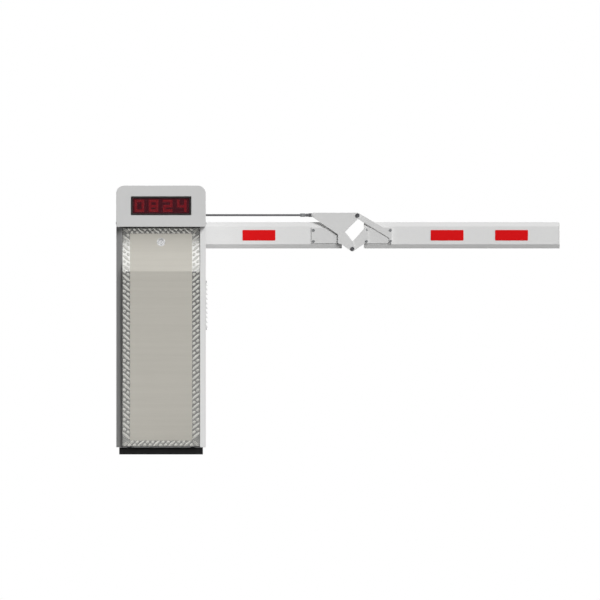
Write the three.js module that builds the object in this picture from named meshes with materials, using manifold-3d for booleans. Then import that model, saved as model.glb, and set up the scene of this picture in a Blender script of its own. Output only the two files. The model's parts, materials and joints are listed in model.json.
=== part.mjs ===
// Parking barrier gate with a folding boom: a steel cabinet on a black plinth, an overhanging head with a
// message display, and a two-piece aluminium boom that a pull rod folds level as it rises.
// Millimetres, +Z up, +X along the lowered boom, -Y towards the door.
// Origin: centre of the plinth's underside.
import * as THREE from "three";
import { mergeVertices } from "three/addons/utils/BufferGeometryUtils.js";
import Module from "manifold-3d";

const wasm = await Module();
wasm.setup();

// ---------------------------------------------------------------- driving dimensions

const GAP = 0.3; // between pieces that touch
const RUN = 0.3; // running clearance on a radius
const ROUND = 24; // sides of a round piece

const cabinet = {
  width: 340,
  depth: 290,
  top: 865,
  wall: 3,
  cornerChamfer: 22,
  pocketDepth: 28, // how far the door's rebate goes back from the front
  lip: 14, // width of the rebate's stop lip
};
cabinet.side = cabinet.width / 2;
cabinet.front = -cabinet.depth / 2;
cabinet.back = cabinet.depth / 2;
cabinet.doorway = cabinet.side - cabinet.cornerChamfer;
cabinet.inside = cabinet.side - cabinet.wall;
cabinet.pocket = cabinet.front + cabinet.pocketDepth;

const plinth = { height: 27, inset: 11, wall: 10, floor: 4 };
const floorPlate = { thickness: 4 };
const cableHole = { halfWidth: 40, halfDepth: 30, fromBack: 70 };
cableHole.y = cabinet.back - cableHole.fromBack;
const anchor = {
  radius: 8,
  inset: 50, // from the cabinet's side, and from its front and back
  stickOut: 31,
  nutAcross: 24,
  nutHeight: 13,
  washer: 15,
  washerThickness: 3,
};

const head = { height: 157, overhang: 35, corner: 30, wall: 3, openingMargin: 20 };
head.front = cabinet.front - head.overhang;
head.top = cabinet.top + head.height;

const display = { width: 229, height: 71, aboveCabinet: 80, frame: 6, proud: 2, depth: 12 };
display.centre = cabinet.top + display.aboveCabinet;
const displayStack = { recess: 1.5, window: 3, space: 0.5, board: 12 };

const door = {
  sideGap: 1.3,
  bottomGap: 4, // above the plinth
  topGap: 3.5, // below the head
  proud: 16,
  depth: 38,
  wall: 3,
  bend: 168.5, // height of the part that leans back, from the door's top
  setBack: 30, // how far the bent top edge leans back
};
door.halfWidth = cabinet.doorway - door.sideGap;
door.front = cabinet.front - door.proud;
door.back = door.front + door.depth;
door.bottom = plinth.height + door.bottomGap;
door.top = cabinet.top - door.topGap;
door.bendStart = door.top - door.bend;
door.hollow = (door.bend * door.bend + door.setBack * door.setBack) / (2 * door.setBack); // its radius
door.hollowY = door.front + door.setBack - door.hollow;
const doorPin = { radius: 4, behindFace: 11, aboveBottom: 9, reach: 8, clearance: 0.6 };
doorPin.y = door.front + doorPin.behindFace;
doorPin.z = door.bottom + doorPin.aboveBottom;

const inlay = { sideBorder: 28.7, endBorder: 21.8, thickness: 1 };
inlay.halfWidth = door.halfWidth - inlay.sideBorder;
inlay.bottom = door.bottom + inlay.endBorder;
inlay.top = door.top - inlay.endBorder;
const strike = { thickness: 5.7, height: 28.7, camGap: 4 };
const lock = {
  belowTop: 54.5,
  radius: 13,
  plugRadius: 8,
  proud: 5, // of the door's face
  length: 24,
  camLength: 46,
  camHalf: 9,
  camThickness: 4,
};
lock.z = door.top - lock.belowTop;
lock.front = door.hollowY + Math.sqrt(door.hollow ** 2 - lock.belowTop ** 2) - lock.proud;

const vent = {
  louvres: 10,
  pitch: 17.6,
  firstTip: 482.5,
  proud: 5.8,
  blade: 12.5,
  length: 104,
  plate: 1.5,
  edge: 9,
};

// The shaft carries the boom; the fold pin stands at the same height, so the pull rod and the line between
// the two pins make a parallelogram and the outer boom stays level.
const shaft = { belowHead: 83.5, radius: 17.5, frontEnd: 12, endRecess: 5.3 };
shaft.z = cabinet.top - shaft.belowHead;
const seal = { radius: 60, thickness: 10 };
const hub = { radius: 45, length: 23.5, clearance: 2.2 };
hub.front = cabinet.back + GAP + seal.thickness + hub.clearance;
hub.back = hub.front + hub.length;
shaft.end = hub.back - shaft.endRecess;
const carrier = { halfLength: 90, plate: 4, drop: 46 };
const boom = {
  height: 100,
  depth: 45,
  chamferHeight: 16,
  chamferDepth: 12,
  wall: 2.5,
  rise: 51.5, // centre line above the shaft
  rootOverhang: 95,
  innerEnd: 684,
  outerStart: 774,
  tip: 1511.5,
  capPlate: 3,
  capPlug: 18,
};
boom.rootEnd = -boom.rootOverhang;
boom.z = shaft.z + boom.rise;
boom.front = hub.back + GAP + carrier.plate + GAP;
boom.back = boom.front + boom.depth;

const leaf = { thickness: 4, height: 60, innerLength: 113, outerLength: 102 };
leaf.front = boom.front - GAP - leaf.thickness;
leaf.back = boom.back + GAP;
leaf.bottom = boom.z - leaf.height / 2 - 1;
leaf.top = leaf.bottom + leaf.height;
const drivePlate = { thickness: 5 };
drivePlate.back = leaf.front - leaf.thickness - GAP;
drivePlate.front = drivePlate.back - drivePlate.thickness;

const fold = { x: 727, z: shaft.z, pinRadius: 5, lugRadius: 10, headRadius: 7.5, head: 3.7 };
const crankPin = { x: -147, z: 128 }; // pull-rod pins, from the shaft and from the fold pin alike
const rodEnd = { x: fold.x + crankPin.x, z: fold.z + crankPin.z };
const rodAnchor = { x: crankPin.x, z: shaft.z + crankPin.z };
const bracePin = { x: fold.x + 19.3, z: fold.z + 126.7, radius: 10.5, bolt: 5 };
const pullRod = {
  radius: 4,
  eye: 11,
  eyeHalf: 4.5,
  eyePin: 6,
  pin: 4,
  endHalf: 4, // half the thickness of the flat end behind the drive plate
  endRadius: 7,
  neck: 16.5, // from the pin back to the flat end's root, clear of the drive plate with the boom up
  shankRadius: 6,
  shankLength: 15,
  nutRadius: 6.8,
  nutLength: 20,
};
pullRod.y = drivePlate.back + GAP + pullRod.endHalf;
const rodPost = { radius: 12, cap: 10, capThickness: 3.5, plate: 5, margin: 14, width: 74, height: 134 };

const reflector = { width: 125, height: 40, thickness: 0.8, centres: [372, 1087, 1332] };

// Balance and drive linkage inside the cabinet.
const lever = { reach: 62, front: 60, thickness: 10, pin: 6, boss: 30, end: 13, bossLength: 6, pinLength: 18 };
const linkRod = { thickness: 8, space: 7 };
const gearbox = {
  belowShaft: 301.5,
  halfWidth: 60,
  halfHeight: 56,
  depth: 57,
  foot: 18,
  nose: 5,
  shaftRadius: 12,
};
gearbox.z = shaft.z - gearbox.belowShaft;
const motor = { radius: 30, height: 192, cover: 38, box: 60 };
const bearing = { half: 58.5, flange: 10, boss: 40, reach: 22 };
const mechanismPlate = { halfWidth: 125, thickness: 6, margin: 70 };
mechanismPlate.back = cabinet.back - cabinet.wall - GAP;
mechanismPlate.front = mechanismPlate.back - mechanismPlate.thickness;
const crossBeam = { front: 0, thickness: 6, flange: 20, halfHeight: 59.5, hole: 26 };
const spring = { radius: 13, travel: 213, hookSpace: 12, sideGap: 2, anchorGap: 10 };
const stop = { radius: 8, post: 6, reach: 51 };
const controls = { width: 62, depth: 130, height: 280, bottom: 120, front: -70 };

// ---------------------------------------------------------------- helpers

const HALF_SQRT = Math.SQRT1_2;

function solid(geometry) {
  const bare = geometry.clone();
  bare.deleteAttribute("normal");
  bare.deleteAttribute("uv");
  const merged = mergeVertices(bare, 1e-3);
  return new wasm.Manifold(
    new wasm.Mesh({
      numProp: 3,
      vertProperties: merged.attributes.position.array,
      triVerts: new Uint32Array(merged.index.array),
    }),
  );
}

function geometryOf(body) {
  const made = body.getMesh();
  const geometry = new THREE.BufferGeometry();
  geometry.setAttribute("position", new THREE.BufferAttribute(made.vertProperties, 3));
  geometry.setIndex(new THREE.BufferAttribute(made.triVerts, 1));
  return geometry;
}

function join(first, ...others) {
  return geometryOf(others.reduce((body, other) => body.add(solid(other)), solid(first)));
}

function cut(first, ...others) {
  return geometryOf(others.reduce((body, other) => body.subtract(solid(other)), solid(first)));
}

function box(x0, x1, y0, y1, z0, z1) {
  const geometry = new THREE.BoxGeometry(x1 - x0, y1 - y0, z1 - z0);
  return geometry.translate((x0 + x1) / 2, (y0 + y1) / 2, (z0 + z1) / 2);
}

function centredBox(halfX, y0, y1, z0, z1) {
  return box(-halfX, halfX, y0, y1, z0, z1);
}

function cylinderY(x, z, radius, y0, y1, sides = ROUND) {
  const geometry = new THREE.CylinderGeometry(radius, radius, y1 - y0, sides);
  return geometry.translate(x, (y0 + y1) / 2, z);
}

function cylinderX(y, z, radius, x0, x1, sides = ROUND) {
  const geometry = new THREE.CylinderGeometry(radius, radius, x1 - x0, sides);
  return geometry.rotateZ(Math.PI / 2).translate((x0 + x1) / 2, y, z);
}

function cylinderZ(x, y, radius, z0, z1, sides = ROUND) {
  const geometry = new THREE.CylinderGeometry(radius, radius, z1 - z0, sides);
  return geometry.rotateX(Math.PI / 2).translate(x, y, (z0 + z1) / 2);
}

// Radius of a faceted hole that a shaft of this radius can turn in.
function bore(radius, clearance = RUN) {
  return (radius + clearance) / Math.cos(Math.PI / ROUND);
}

function outline(points) {
  return new THREE.Shape(points.map(([a, b]) => new THREE.Vector2(a, b)));
}

// A shape drawn in X and Z, made a plate from y0 to y1.
function plateXZ(shape, y0, y1) {
  const geometry = new THREE.ExtrudeGeometry(shape, {
    depth: y1 - y0,
    bevelEnabled: false,
    curveSegments: 8,
  });
  return geometry.rotateX(Math.PI / 2).translate(0, y1, 0);
}

// A shape drawn in X and Y, made a plate from z0 to z1.
function plateXY(shape, z0, z1) {
  const geometry = new THREE.ExtrudeGeometry(shape, { depth: z1 - z0, bevelEnabled: false });
  return geometry.translate(0, 0, z0);
}

// A shape drawn in Y and Z, made a bar from x0 to x1.
function barYZ(shape, x0, x1) {
  const geometry = new THREE.ExtrudeGeometry(shape, {
    depth: x1 - x0,
    bevelEnabled: false,
    curveSegments: 10,
  });
  const axes = new THREE.Matrix4().makeBasis(
    new THREE.Vector3(0, 1, 0),
    new THREE.Vector3(0, 0, 1),
    new THREE.Vector3(1, 0, 0),
  );
  return geometry.applyMatrix4(axes).translate(x0, 0, 0);
}

// A link between two pins in an XZ plane: a bar with round ends.
function linkShape(a, b, radius) {
  const angle = Math.atan2(b.z - a.z, b.x - a.x);
  const shape = new THREE.Shape();
  shape.absarc(a.x, a.z, radius, angle + Math.PI / 2, angle - Math.PI / 2, false);
  shape.absarc(b.x, b.z, radius, angle - Math.PI / 2, angle + Math.PI / 2, false);
  return shape;
}

// ---------------------------------------------------------------- materials

function finish(color, roughness, metalness) {
  return new THREE.MeshStandardMaterial({ color, roughness, metalness });
}

const paint = finish(0xc9c9c9, 0.45, 0.1);
const blackPaint = finish(0x262626, 0.6, 0.1);
const satinSteel = finish(0xb6b3a9, 0.35, 0.9);
const treadSteel = finish(0x9b9c96, 0.3, 0.95);
const boomPaint = finish(0xdadada, 0.4, 0.1);
const platePaint = finish(0xcfcfcf, 0.45, 0.1);
const steel = finish(0x8d9094, 0.35, 0.9);
const chrome = finish(0xe6e6e6, 0.12, 1);
const redFilm = finish(0xd21f22, 0.4, 0);
const blackPlastic = finish(0x171414, 0.5, 0);
const greyPlastic = finish(0xd2d2d2, 0.55, 0);
const smokedAcrylic = finish(0x5a2c32, 0.15, 0);
const castIron = finish(0x5f666b, 0.6, 0.5);
const castAluminium = finish(0x9aa0a4, 0.5, 0.7);
const rubber = finish(0x1c1c1c, 0.9, 0);
const motorBlue = finish(0x3c4a58, 0.5, 0.3);

// ---------------------------------------------------------------- base and cabinet

function anchorPoints() {
  const x = cabinet.side - anchor.inset;
  const y = cabinet.back - anchor.inset;
  return [-x, x].flatMap((px) => [-y, y].map((py) => [px, py]));
}

function anchorHoles(z0, z1) {
  return anchorPoints().map(([x, y]) => cylinderZ(x, y, bore(anchor.radius, 1), z0, z1));
}

function cableCut(z0, z1) {
  return box(
    -cableHole.halfWidth,
    cableHole.halfWidth,
    cableHole.y - cableHole.halfDepth,
    cableHole.y + cableHole.halfDepth,
    z0,
    z1,
  );
}

function plinthTray() {
  const halfWidth = cabinet.side - plinth.inset;
  const halfDepth = cabinet.back - plinth.inset;
  return cut(
    centredBox(halfWidth, -halfDepth, halfDepth, 0, plinth.height),
    centredBox(
      halfWidth - plinth.wall,
      -halfDepth + plinth.wall,
      halfDepth - plinth.wall,
      plinth.floor,
      plinth.height + 1,
    ),
    cableCut(-1, plinth.floor + 1),
    ...anchorHoles(-1, plinth.floor + 1),
  );
}

const floorBottom = plinth.height + GAP;
const floorTop = floorBottom + floorPlate.thickness;

function floorSheet() {
  return cut(
    centredBox(
      cabinet.inside - GAP,
      cabinet.pocket + GAP,
      cabinet.back - cabinet.wall - GAP,
      floorBottom,
      floorTop,
    ),
    cableCut(floorBottom - 1, floorTop + 1),
    ...anchorHoles(floorBottom - 1, floorTop + 1),
  );
}

function anchorBolt(x, y) {
  const nutRadius = anchor.nutAcross / 2 / Math.cos(Math.PI / 6);
  const washerTop = floorTop + GAP + anchor.washerThickness;
  return join(
    cylinderZ(x, y, anchor.radius, 1, floorTop + anchor.stickOut),
    cylinderZ(x, y, anchor.washer, floorTop + GAP, washerTop),
    cylinderZ(x, y, nutRadius, washerTop, washerTop + anchor.nutHeight, 6),
  );
}

// Plan of the cabinet's folded sheet: back, sides, chamfered front corners, and the rebate for the door.
function cabinetPlan() {
  const { side, front, back, doorway, wall, cornerChamfer, lip } = cabinet;
  const stop = cabinet.pocket - wall;
  const half = [
    [side, back],
    [side, front + cornerChamfer],
    [doorway, front],
    [doorway, stop],
    [doorway - lip, stop],
    [doorway - lip, cabinet.pocket],
    [doorway + wall, cabinet.pocket],
    [doorway + wall, front + 2.4 * wall],
    [side - wall, front + cornerChamfer + 0.41 * wall],
    [side - wall, back - wall],
  ];
  const mirrored = half.map(([x, y]) => [-x, y]).reverse();
  return outline([...half, ...mirrored]);
}

const shaftHole = shaft.radius + 12.5;

function cabinetShell() {
  return cut(
    plateXY(cabinetPlan(), plinth.height + GAP, cabinet.top - GAP),
    cylinderY(0, shaft.z, shaftHole, cabinet.back - 2 * cabinet.wall, cabinet.back + 1),
    box(
      cabinet.side - 2 * cabinet.wall,
      cabinet.side + 1,
      -vent.length / 2 + 4,
      vent.length / 2 - 4,
      vent.firstTip,
      vent.firstTip + vent.louvres * vent.pitch - 5,
    ),
  );
}

// Pressed louvre panel: each blade slopes out and down over its own slot.
function louvrePanel() {
  const inner = cabinet.side + GAP;
  const outer = inner + vent.plate;
  const half = vent.length / 2;
  const top = vent.firstTip + vent.louvres * vent.pitch;
  const panel = box(inner, outer, -half - vent.edge, half + vent.edge, vent.firstTip - vent.edge, top + 2);
  const slots = [];
  const blades = [];
  for (let i = 0; i < vent.louvres; i += 1) {
    const tip = vent.firstTip + i * vent.pitch;
    const root = tip + vent.blade;
    slots.push(box(inner - 1, outer + 1, -half + 5, half - 5, tip + 1, root - 4));
    const blade = outline([
      [outer - 0.5, root],
      [outer - 0.5, root - 2.5],
      [outer + vent.proud - 1.5, tip],
      [outer + vent.proud, tip],
    ]);
    blades.push(plateXZ(blade, -half, half));
  }
  return join(cut(panel, ...slots), ...blades);
}

function strikeRail() {
  const front = cabinet.pocket + GAP;
  const top = cabinet.top - GAP;
  return centredBox(cabinet.doorway - GAP, front, front + strike.thickness, top - strike.height, top);
}

// ---------------------------------------------------------------- head and display

function headOutline(inset) {
  const side = cabinet.side - inset;
  const radius = head.corner - inset;
  const bottom = cabinet.top + inset;
  const top = head.top - inset;
  const shape = new THREE.Shape();
  shape.moveTo(-side, bottom);
  shape.lineTo(side, bottom);
  shape.absarc(side - radius, top - radius, radius, 0, Math.PI / 2, false);
  shape.absarc(-side + radius, top - radius, radius, Math.PI / 2, Math.PI, false);
  return shape;
}

const displayBottom = display.centre - display.height / 2;
const displayTop = display.centre + display.height / 2;

function headShell() {
  const { wall, openingMargin } = head;
  return cut(
    plateXZ(headOutline(0), head.front, cabinet.back),
    plateXZ(headOutline(wall), head.front + wall, cabinet.back - wall),
    centredBox(
      cabinet.side - openingMargin,
      cabinet.pocket + 10,
      cabinet.back - wall - 3,
      cabinet.top - 1,
      cabinet.top + 2 * wall,
    ),
    centredBox(display.width / 2, head.front - 1, head.front + 2 * wall, displayBottom, displayTop),
  );
}

function displayBezel() {
  const half = display.width / 2 - GAP;
  const { frame, proud, depth } = display;
  return cut(
    centredBox(half, head.front - proud, head.front + depth, displayBottom + GAP, displayTop - GAP),
    centredBox(
      half - frame,
      head.front - proud - 1,
      head.front + depth + 1,
      displayBottom + GAP + frame,
      displayTop - GAP - frame,
    ),
  );
}

const windowFront = head.front + displayStack.recess;
const windowBack = windowFront + displayStack.window;
const boardFront = windowBack + displayStack.space;

function displaySheet(y0, y1) {
  const inset = display.frame + 2 * GAP;
  return centredBox(display.width / 2 - inset, y0, y1, displayBottom + inset, displayTop - inset);
}

// ---------------------------------------------------------------- door

// Side view of the door: upright, then from a crease leaning back in a hollow curve that is upright again at
// the top. The offset moves the face forwards.
function doorProfile(offset, bottom, top, back) {
  const radius = door.hollow - offset;
  const face = door.front - offset;
  const start = Math.asin((door.top - top) / radius);
  const crease = Math.acos((face - door.hollowY) / radius);
  const shape = new THREE.Shape();
  shape.moveTo(back, bottom);
  shape.lineTo(back, top);
  shape.absarc(door.hollowY, door.top, radius, -start, -crease, true);
  shape.lineTo(face, bottom);
  return shape;
}

function lockHole() {
  return cylinderY(0, lock.z, bore(lock.radius, GAP), door.front - 10, door.back);
}

function doorShell() {
  const half = door.halfWidth;
  const { wall } = door;
  const pivots = [-1, 1].map((s) =>
    cylinderX(
      doorPin.y,
      doorPin.z,
      bore(doorPin.radius, doorPin.clearance),
      s > 0 ? half - 2 * wall : -half - 1,
      s > 0 ? half + 1 : -half + 2 * wall,
    ),
  );
  return cut(
    barYZ(doorProfile(0, door.bottom, door.top, door.back), -half, half),
    barYZ(doorProfile(-wall, door.bottom + wall, door.top - wall, door.back + 1), -half + wall, half - wall),
    lockHole(),
    ...pivots,
  );
}

function doorInlay() {
  const half = inlay.halfWidth;
  const behind = door.front + door.setBack + 20;
  const outer = barYZ(
    doorProfile(GAP + inlay.thickness, inlay.bottom, inlay.top, behind),
    -half,
    half,
  );
  const inner = barYZ(
    doorProfile(GAP, inlay.bottom - 1, inlay.top + 1, behind + 1),
    -half - 1,
    half + 1,
  );
  return cut(outer, inner, lockHole());
}

function lockBody() {
  const back = lock.front + lock.length;
  return cut(
    cylinderY(0, lock.z, lock.radius, lock.front, back),
    cylinderY(0, lock.z, bore(lock.plugRadius), lock.front - 1, back + 1),
  );
}

function lockPlug() {
  const camFront = cabinet.pocket + GAP + strike.thickness + strike.camGap;
  const camBack = camFront + lock.camThickness;
  const camEnd = { x: lock.camLength - lock.camHalf, z: lock.z };
  return cut(
    join(
      cylinderY(0, lock.z, lock.plugRadius, lock.front + 1, camBack),
      plateXZ(linkShape({ x: 0, z: lock.z }, camEnd, lock.camHalf), camFront, camBack),
    ),
    box(-1, 1, lock.front, lock.front + 4, lock.z - 5, lock.z + 5),
  );
}

function doorPivot(side) {
  const outer = cabinet.doorway - GAP;
  const ends = [side * (outer - doorPin.reach), side * outer].sort((a, b) => a - b);
  return cylinderX(doorPin.y, doorPin.z, doorPin.radius, ...ends);
}

// ---------------------------------------------------------------- shaft, levers and drive

// A square flange from y0 to y1, and a round boss that reaches out to another y.
function flangeBearing(y0, y1, bossEnd) {
  const { half, boss } = bearing;
  const ends = [y0, y1, bossEnd];
  return cut(
    join(
      box(-half, half, y0, y1, shaft.z - half, shaft.z + half),
      cylinderY(0, shaft.z, boss, Math.min(...ends), Math.max(...ends)),
    ),
    cylinderY(0, shaft.z, bore(shaft.radius), Math.min(...ends) - 1, Math.max(...ends) + 1),
  );
}

const rearBearing = { back: mechanismPlate.front - GAP };
rearBearing.front = rearBearing.back - bearing.flange;
rearBearing.bossFront = rearBearing.back - bearing.reach;
const frontBearing = { front: crossBeam.front + crossBeam.thickness + GAP };
frontBearing.back = frontBearing.front + bearing.flange;
frontBearing.bossBack = frontBearing.front + bearing.reach;

function mechanismSheet() {
  const { front, back, halfWidth, margin } = mechanismPlate;
  return cut(
    centredBox(halfWidth, front, back, gearbox.z - margin, shaft.z + bearing.half + 10),
    cylinderY(0, shaft.z, shaftHole, front - 1, back + 1),
  );
}

// A folded channel across the cabinet, fixed to both side walls.
function crossBeamChannel() {
  const half = cabinet.inside - GAP;
  const { front, thickness, flange, halfHeight, hole } = crossBeam;
  const bottom = shaft.z - halfHeight;
  const top = shaft.z + halfHeight;
  return cut(
    join(
      centredBox(half, front, front + thickness, bottom, top),
      centredBox(half, front - flange, front + thickness, bottom, bottom + thickness),
      centredBox(half, front - flange, front + thickness, top - thickness, top),
    ),
    cylinderY(0, shaft.z, hole, front - 1, front + thickness + 1),
  );
}

function sealFlange() {
  const y0 = cabinet.back + GAP;
  return cut(
    cylinderY(0, shaft.z, seal.radius, y0, y0 + seal.thickness),
    cylinderY(0, shaft.z, bore(shaft.radius), y0 - 1, y0 + seal.thickness + 1),
  );
}

const shaftFront = crossBeam.front - shaft.frontEnd;

function hubFlange() {
  return cut(
    cylinderY(0, shaft.z, hub.radius, hub.front, hub.back),
    cylinderY(0, shaft.z, bore(shaft.radius, 0.1), hub.front - 1, shaft.end + GAP),
  );
}

const leverBack = lever.front + lever.thickness;
// Lever pins lie on the 45 degree line through the shaft, so each has the same x with the boom down and up.
const leverStep = lever.reach * HALF_SQRT;
const springPinAt = { x: -leverStep, z: shaft.z + leverStep };
const rodPinAt = { x: leverStep, z: shaft.z - leverStep };
const crankPinAt = { x: leverStep, z: gearbox.z - leverStep };
const springFronts = [
  lever.front - spring.sideGap - 2 * spring.radius,
  leverBack + lever.bossLength - spring.sideGap,
];

const gearboxBack = mechanismPlate.front - GAP;
const gearboxFront = gearboxBack - gearbox.depth;

function rockerLever() {
  return cut(
    join(
      plateXZ(linkShape(springPinAt, rodPinAt, lever.end), lever.front, leverBack),
      cylinderY(0, shaft.z, lever.boss, lever.front - lever.bossLength, leverBack + lever.bossLength),
      cylinderY(rodPinAt.x, rodPinAt.z, lever.pin, lever.front - lever.pinLength, leverBack),
    ),
    cylinderY(0, shaft.z, bore(shaft.radius, 0.1), lever.front - 10, leverBack + 10),
    cylinderY(springPinAt.x, springPinAt.z, bore(lever.pin, 0.1), lever.front - 1, leverBack + 1),
  );
}

function springPin() {
  const [first, second] = springFronts;
  const y0 = first - 4;
  const y1 = second + 2 * spring.radius + 4;
  return cylinderY(springPinAt.x, springPinAt.z, lever.pin, y0, y1);
}

function outputCrank() {
  const centre = { x: 0, z: gearbox.z };
  return join(
    plateXZ(linkShape(centre, crankPinAt, 16), lever.front, leverBack),
    cylinderY(0, gearbox.z, gearbox.shaftRadius, lever.front, gearboxFront + 20),
    cylinderY(crankPinAt.x, crankPinAt.z, lever.pin, lever.front - lever.pinLength, leverBack),
  );
}

function connectingRod() {
  const y1 = lever.front - linkRod.space;
  const y0 = y1 - linkRod.thickness;
  return cut(
    plateXZ(linkShape(crankPinAt, rodPinAt, lever.end), y0, y1),
    cylinderY(crankPinAt.x, crankPinAt.z, bore(lever.pin), y0 - 1, y1 + 1),
    cylinderY(rodPinAt.x, rodPinAt.z, bore(lever.pin), y0 - 1, y1 + 1),
  );
}

function gearboxHousing() {
  const { halfWidth, halfHeight, z, foot, nose, shaftRadius } = gearbox;
  const front = gearboxFront;
  return cut(
    join(
      centredBox(halfWidth, front, gearboxBack, z - halfHeight, z + halfHeight),
      cylinderY(0, z, 26, front - nose, front + 2),
      centredBox(halfWidth + foot, gearboxBack - 10, gearboxBack, z - halfHeight + 12, z + halfHeight - 12),
    ),
    cylinderY(0, z, bore(shaftRadius), front - nose - 1, front + 21),
  );
}

function motorBody() {
  const { radius, height, cover } = motor;
  const top = gearbox.z - gearbox.halfHeight - GAP;
  const bottom = top - height;
  const y = gearboxBack - radius - 1;
  return join(
    cylinderZ(0, y, radius - 2, bottom + 1, top),
    cylinderZ(0, y, radius, bottom + cover + 6, top - 14),
    cylinderZ(0, y, radius, bottom, bottom + cover),
    box(-motor.box / 2, motor.box / 2, y - radius - 8, y, bottom + 70, bottom + 70 + motor.box),
  );
}

function springEnvelope(front) {
  const y = front + spring.radius;
  const top = springPinAt.z - spring.hookSpace;
  return cylinderZ(springPinAt.x, y, spring.radius, top - spring.travel, top, 16);
}

function springAnchor() {
  const x = springPinAt.x;
  const top = springPinAt.z - spring.hookSpace - spring.travel - spring.anchorGap;
  const [first, second] = springFronts;
  const back = mechanismPlate.front - GAP;
  return join(
    box(x - 20, x + 20, first - 6, back, top - 8, top),
    box(x - 20, x + 20, back - 8, back, top - 40, top + 30),
    cylinderZ(x, first + spring.radius, 4, top - 1, top + 6, 12),
    cylinderZ(x, second + spring.radius, 4, top - 1, top + 6, 12),
  );
}

// Rubber-sleeved post on the rear bearing's flange that the lever's lower arm comes to rest against.
// Way is -1 for the stop with the boom down and +1 for the stop with it up.
function leverStop(way) {
  const { radius, reach, post } = stop;
  const angle = way * (Math.PI / 4 + Math.asin((lever.end + radius + 2 * GAP) / reach));
  const x = reach * Math.cos(angle);
  const z = shaft.z + reach * Math.sin(angle);
  return join(
    cylinderY(x, z, radius, lever.front, leverBack),
    cylinderY(x, z, post, leverBack - 1, rearBearing.front - GAP),
  );
}

function controlBox() {
  const { width, depth, height, bottom, front } = controls;
  const side = -cabinet.inside + 1;
  const back = front + depth;
  return join(
    box(side, side + width, front, back, bottom, bottom + height),
    box(side + width - 1, side + width + 4, front + 8, back - 8, bottom + 8, bottom + height - 8),
    box(side + 12, side + width - 12, front + 10, back - 10, bottom - 14, bottom + 1),
  );
}

// ---------------------------------------------------------------- boom and fold joint

// Section of the boom, in Y and Z, drawn in by an inset.
function boomSection(inset) {
  const { front, back, chamferDepth, chamferHeight } = boom;
  const y0 = front + inset;
  const y1 = back - inset;
  const z0 = boom.z - boom.height / 2 + inset;
  const z1 = boom.z + boom.height / 2 - inset;
  const dy = chamferDepth - 0.35 * inset;
  const dz = chamferHeight - 0.55 * inset;
  return [
    [y0 + dy, z0],
    [y1 - dy, z0],
    [y1, z0 + dz],
    [y1, z1 - dz],
    [y1 - dy, z1],
    [y0 + dy, z1],
    [y0, z1 - dz],
    [y0, z0 + dz],
  ];
}

function boomTube(x0, x1) {
  const shape = outline(boomSection(0));
  shape.holes.push(new THREE.Path(boomSection(boom.wall).map(([y, z]) => new THREE.Vector2(y, z))));
  return barYZ(shape, x0, x1);
}

// Moulded end cap: a plate over the tube's end and a plug inside it. Out is +1 at the tube's high end.
function boomCap(x, out) {
  const plate = [x + out * GAP, x + out * (GAP + boom.capPlate)].sort((a, b) => a - b);
  const plug = [x - out * boom.capPlug, x + out * (GAP + 1)].sort((a, b) => a - b);
  return join(
    barYZ(outline(boomSection(0)), ...plate),
    barYZ(outline(boomSection(boom.wall + GAP)), ...plug),
  );
}

function boomCarrier() {
  const { halfLength, plate, drop } = carrier;
  const top = boom.z + boom.height / 2 + GAP;
  const bottom = boom.z - boom.height / 2 - GAP;
  const y0 = boom.front - GAP - plate;
  const y1 = boom.back + GAP;
  const web = outline([
    [-halfLength, bottom - plate],
    [-0.5 * halfLength, shaft.z - drop],
    [0.5 * halfLength, shaft.z - drop],
    [halfLength, bottom - plate],
    [halfLength, top + plate],
    [-halfLength, top + plate],
  ]);
  return join(
    plateXZ(web, y0, y0 + plate),
    centredBox(halfLength, y0 + 1, y1, top, top + plate),
    centredBox(halfLength, y0 + 1, y1, bottom - plate, bottom),
  );
}

function clampPlate() {
  const { halfLength, plate } = carrier;
  const half = boom.height / 2 + GAP + plate;
  const y0 = boom.back + 2 * GAP;
  return centredBox(halfLength, y0, y0 + plate, boom.z - half, boom.z + half);
}

// The open corners between the plates of the fold joint, as places from the fold pin.
const gapCorner = { left: { x: -27.8, z: 64.4 }, bottom: { x: 0.7, z: 28.3 } };

// The lug of the inner boom's plate, from the boom's end down to the fold pin.
function innerLeafShape() {
  const end = boom.innerEnd;
  const shape = new THREE.Shape();
  shape.moveTo(end - leaf.innerLength, leaf.bottom);
  shape.lineTo(end, leaf.bottom);
  shape.absarc(fold.x, fold.z, fold.lugRadius, 1.25 * Math.PI, 2.15 * Math.PI, false);
  shape.lineTo(fold.x + gapCorner.left.x - 4, fold.z + gapCorner.left.z - 6);
  shape.lineTo(end, leaf.top);
  shape.lineTo(end - leaf.innerLength, leaf.top);
  return shape;
}

// The lug of the outer boom's plate, which laps over the plate and reaches back to the fold pin.
function outerLugShape(width) {
  const start = boom.outerStart;
  const shape = new THREE.Shape();
  shape.moveTo(start + width, leaf.bottom);
  shape.lineTo(start + width, leaf.top - 24);
  shape.lineTo(start + 1, leaf.top);
  shape.lineTo(fold.x + gapCorner.bottom.x, fold.z + gapCorner.bottom.z);
  shape.absarc(fold.x, fold.z, fold.lugRadius, 0.85 * Math.PI, 1.75 * Math.PI, false);
  shape.lineTo(start, leaf.bottom);
  return shape;
}

function foldPinHole(y0, y1) {
  return cylinderY(fold.x, fold.z, bore(fold.pinRadius), y0, y1);
}

function innerLeaf(y0) {
  const y1 = y0 + leaf.thickness;
  return cut(plateXZ(innerLeafShape(), y0, y1), foldPinHole(y0 - 1, y1 + 1));
}

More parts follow.
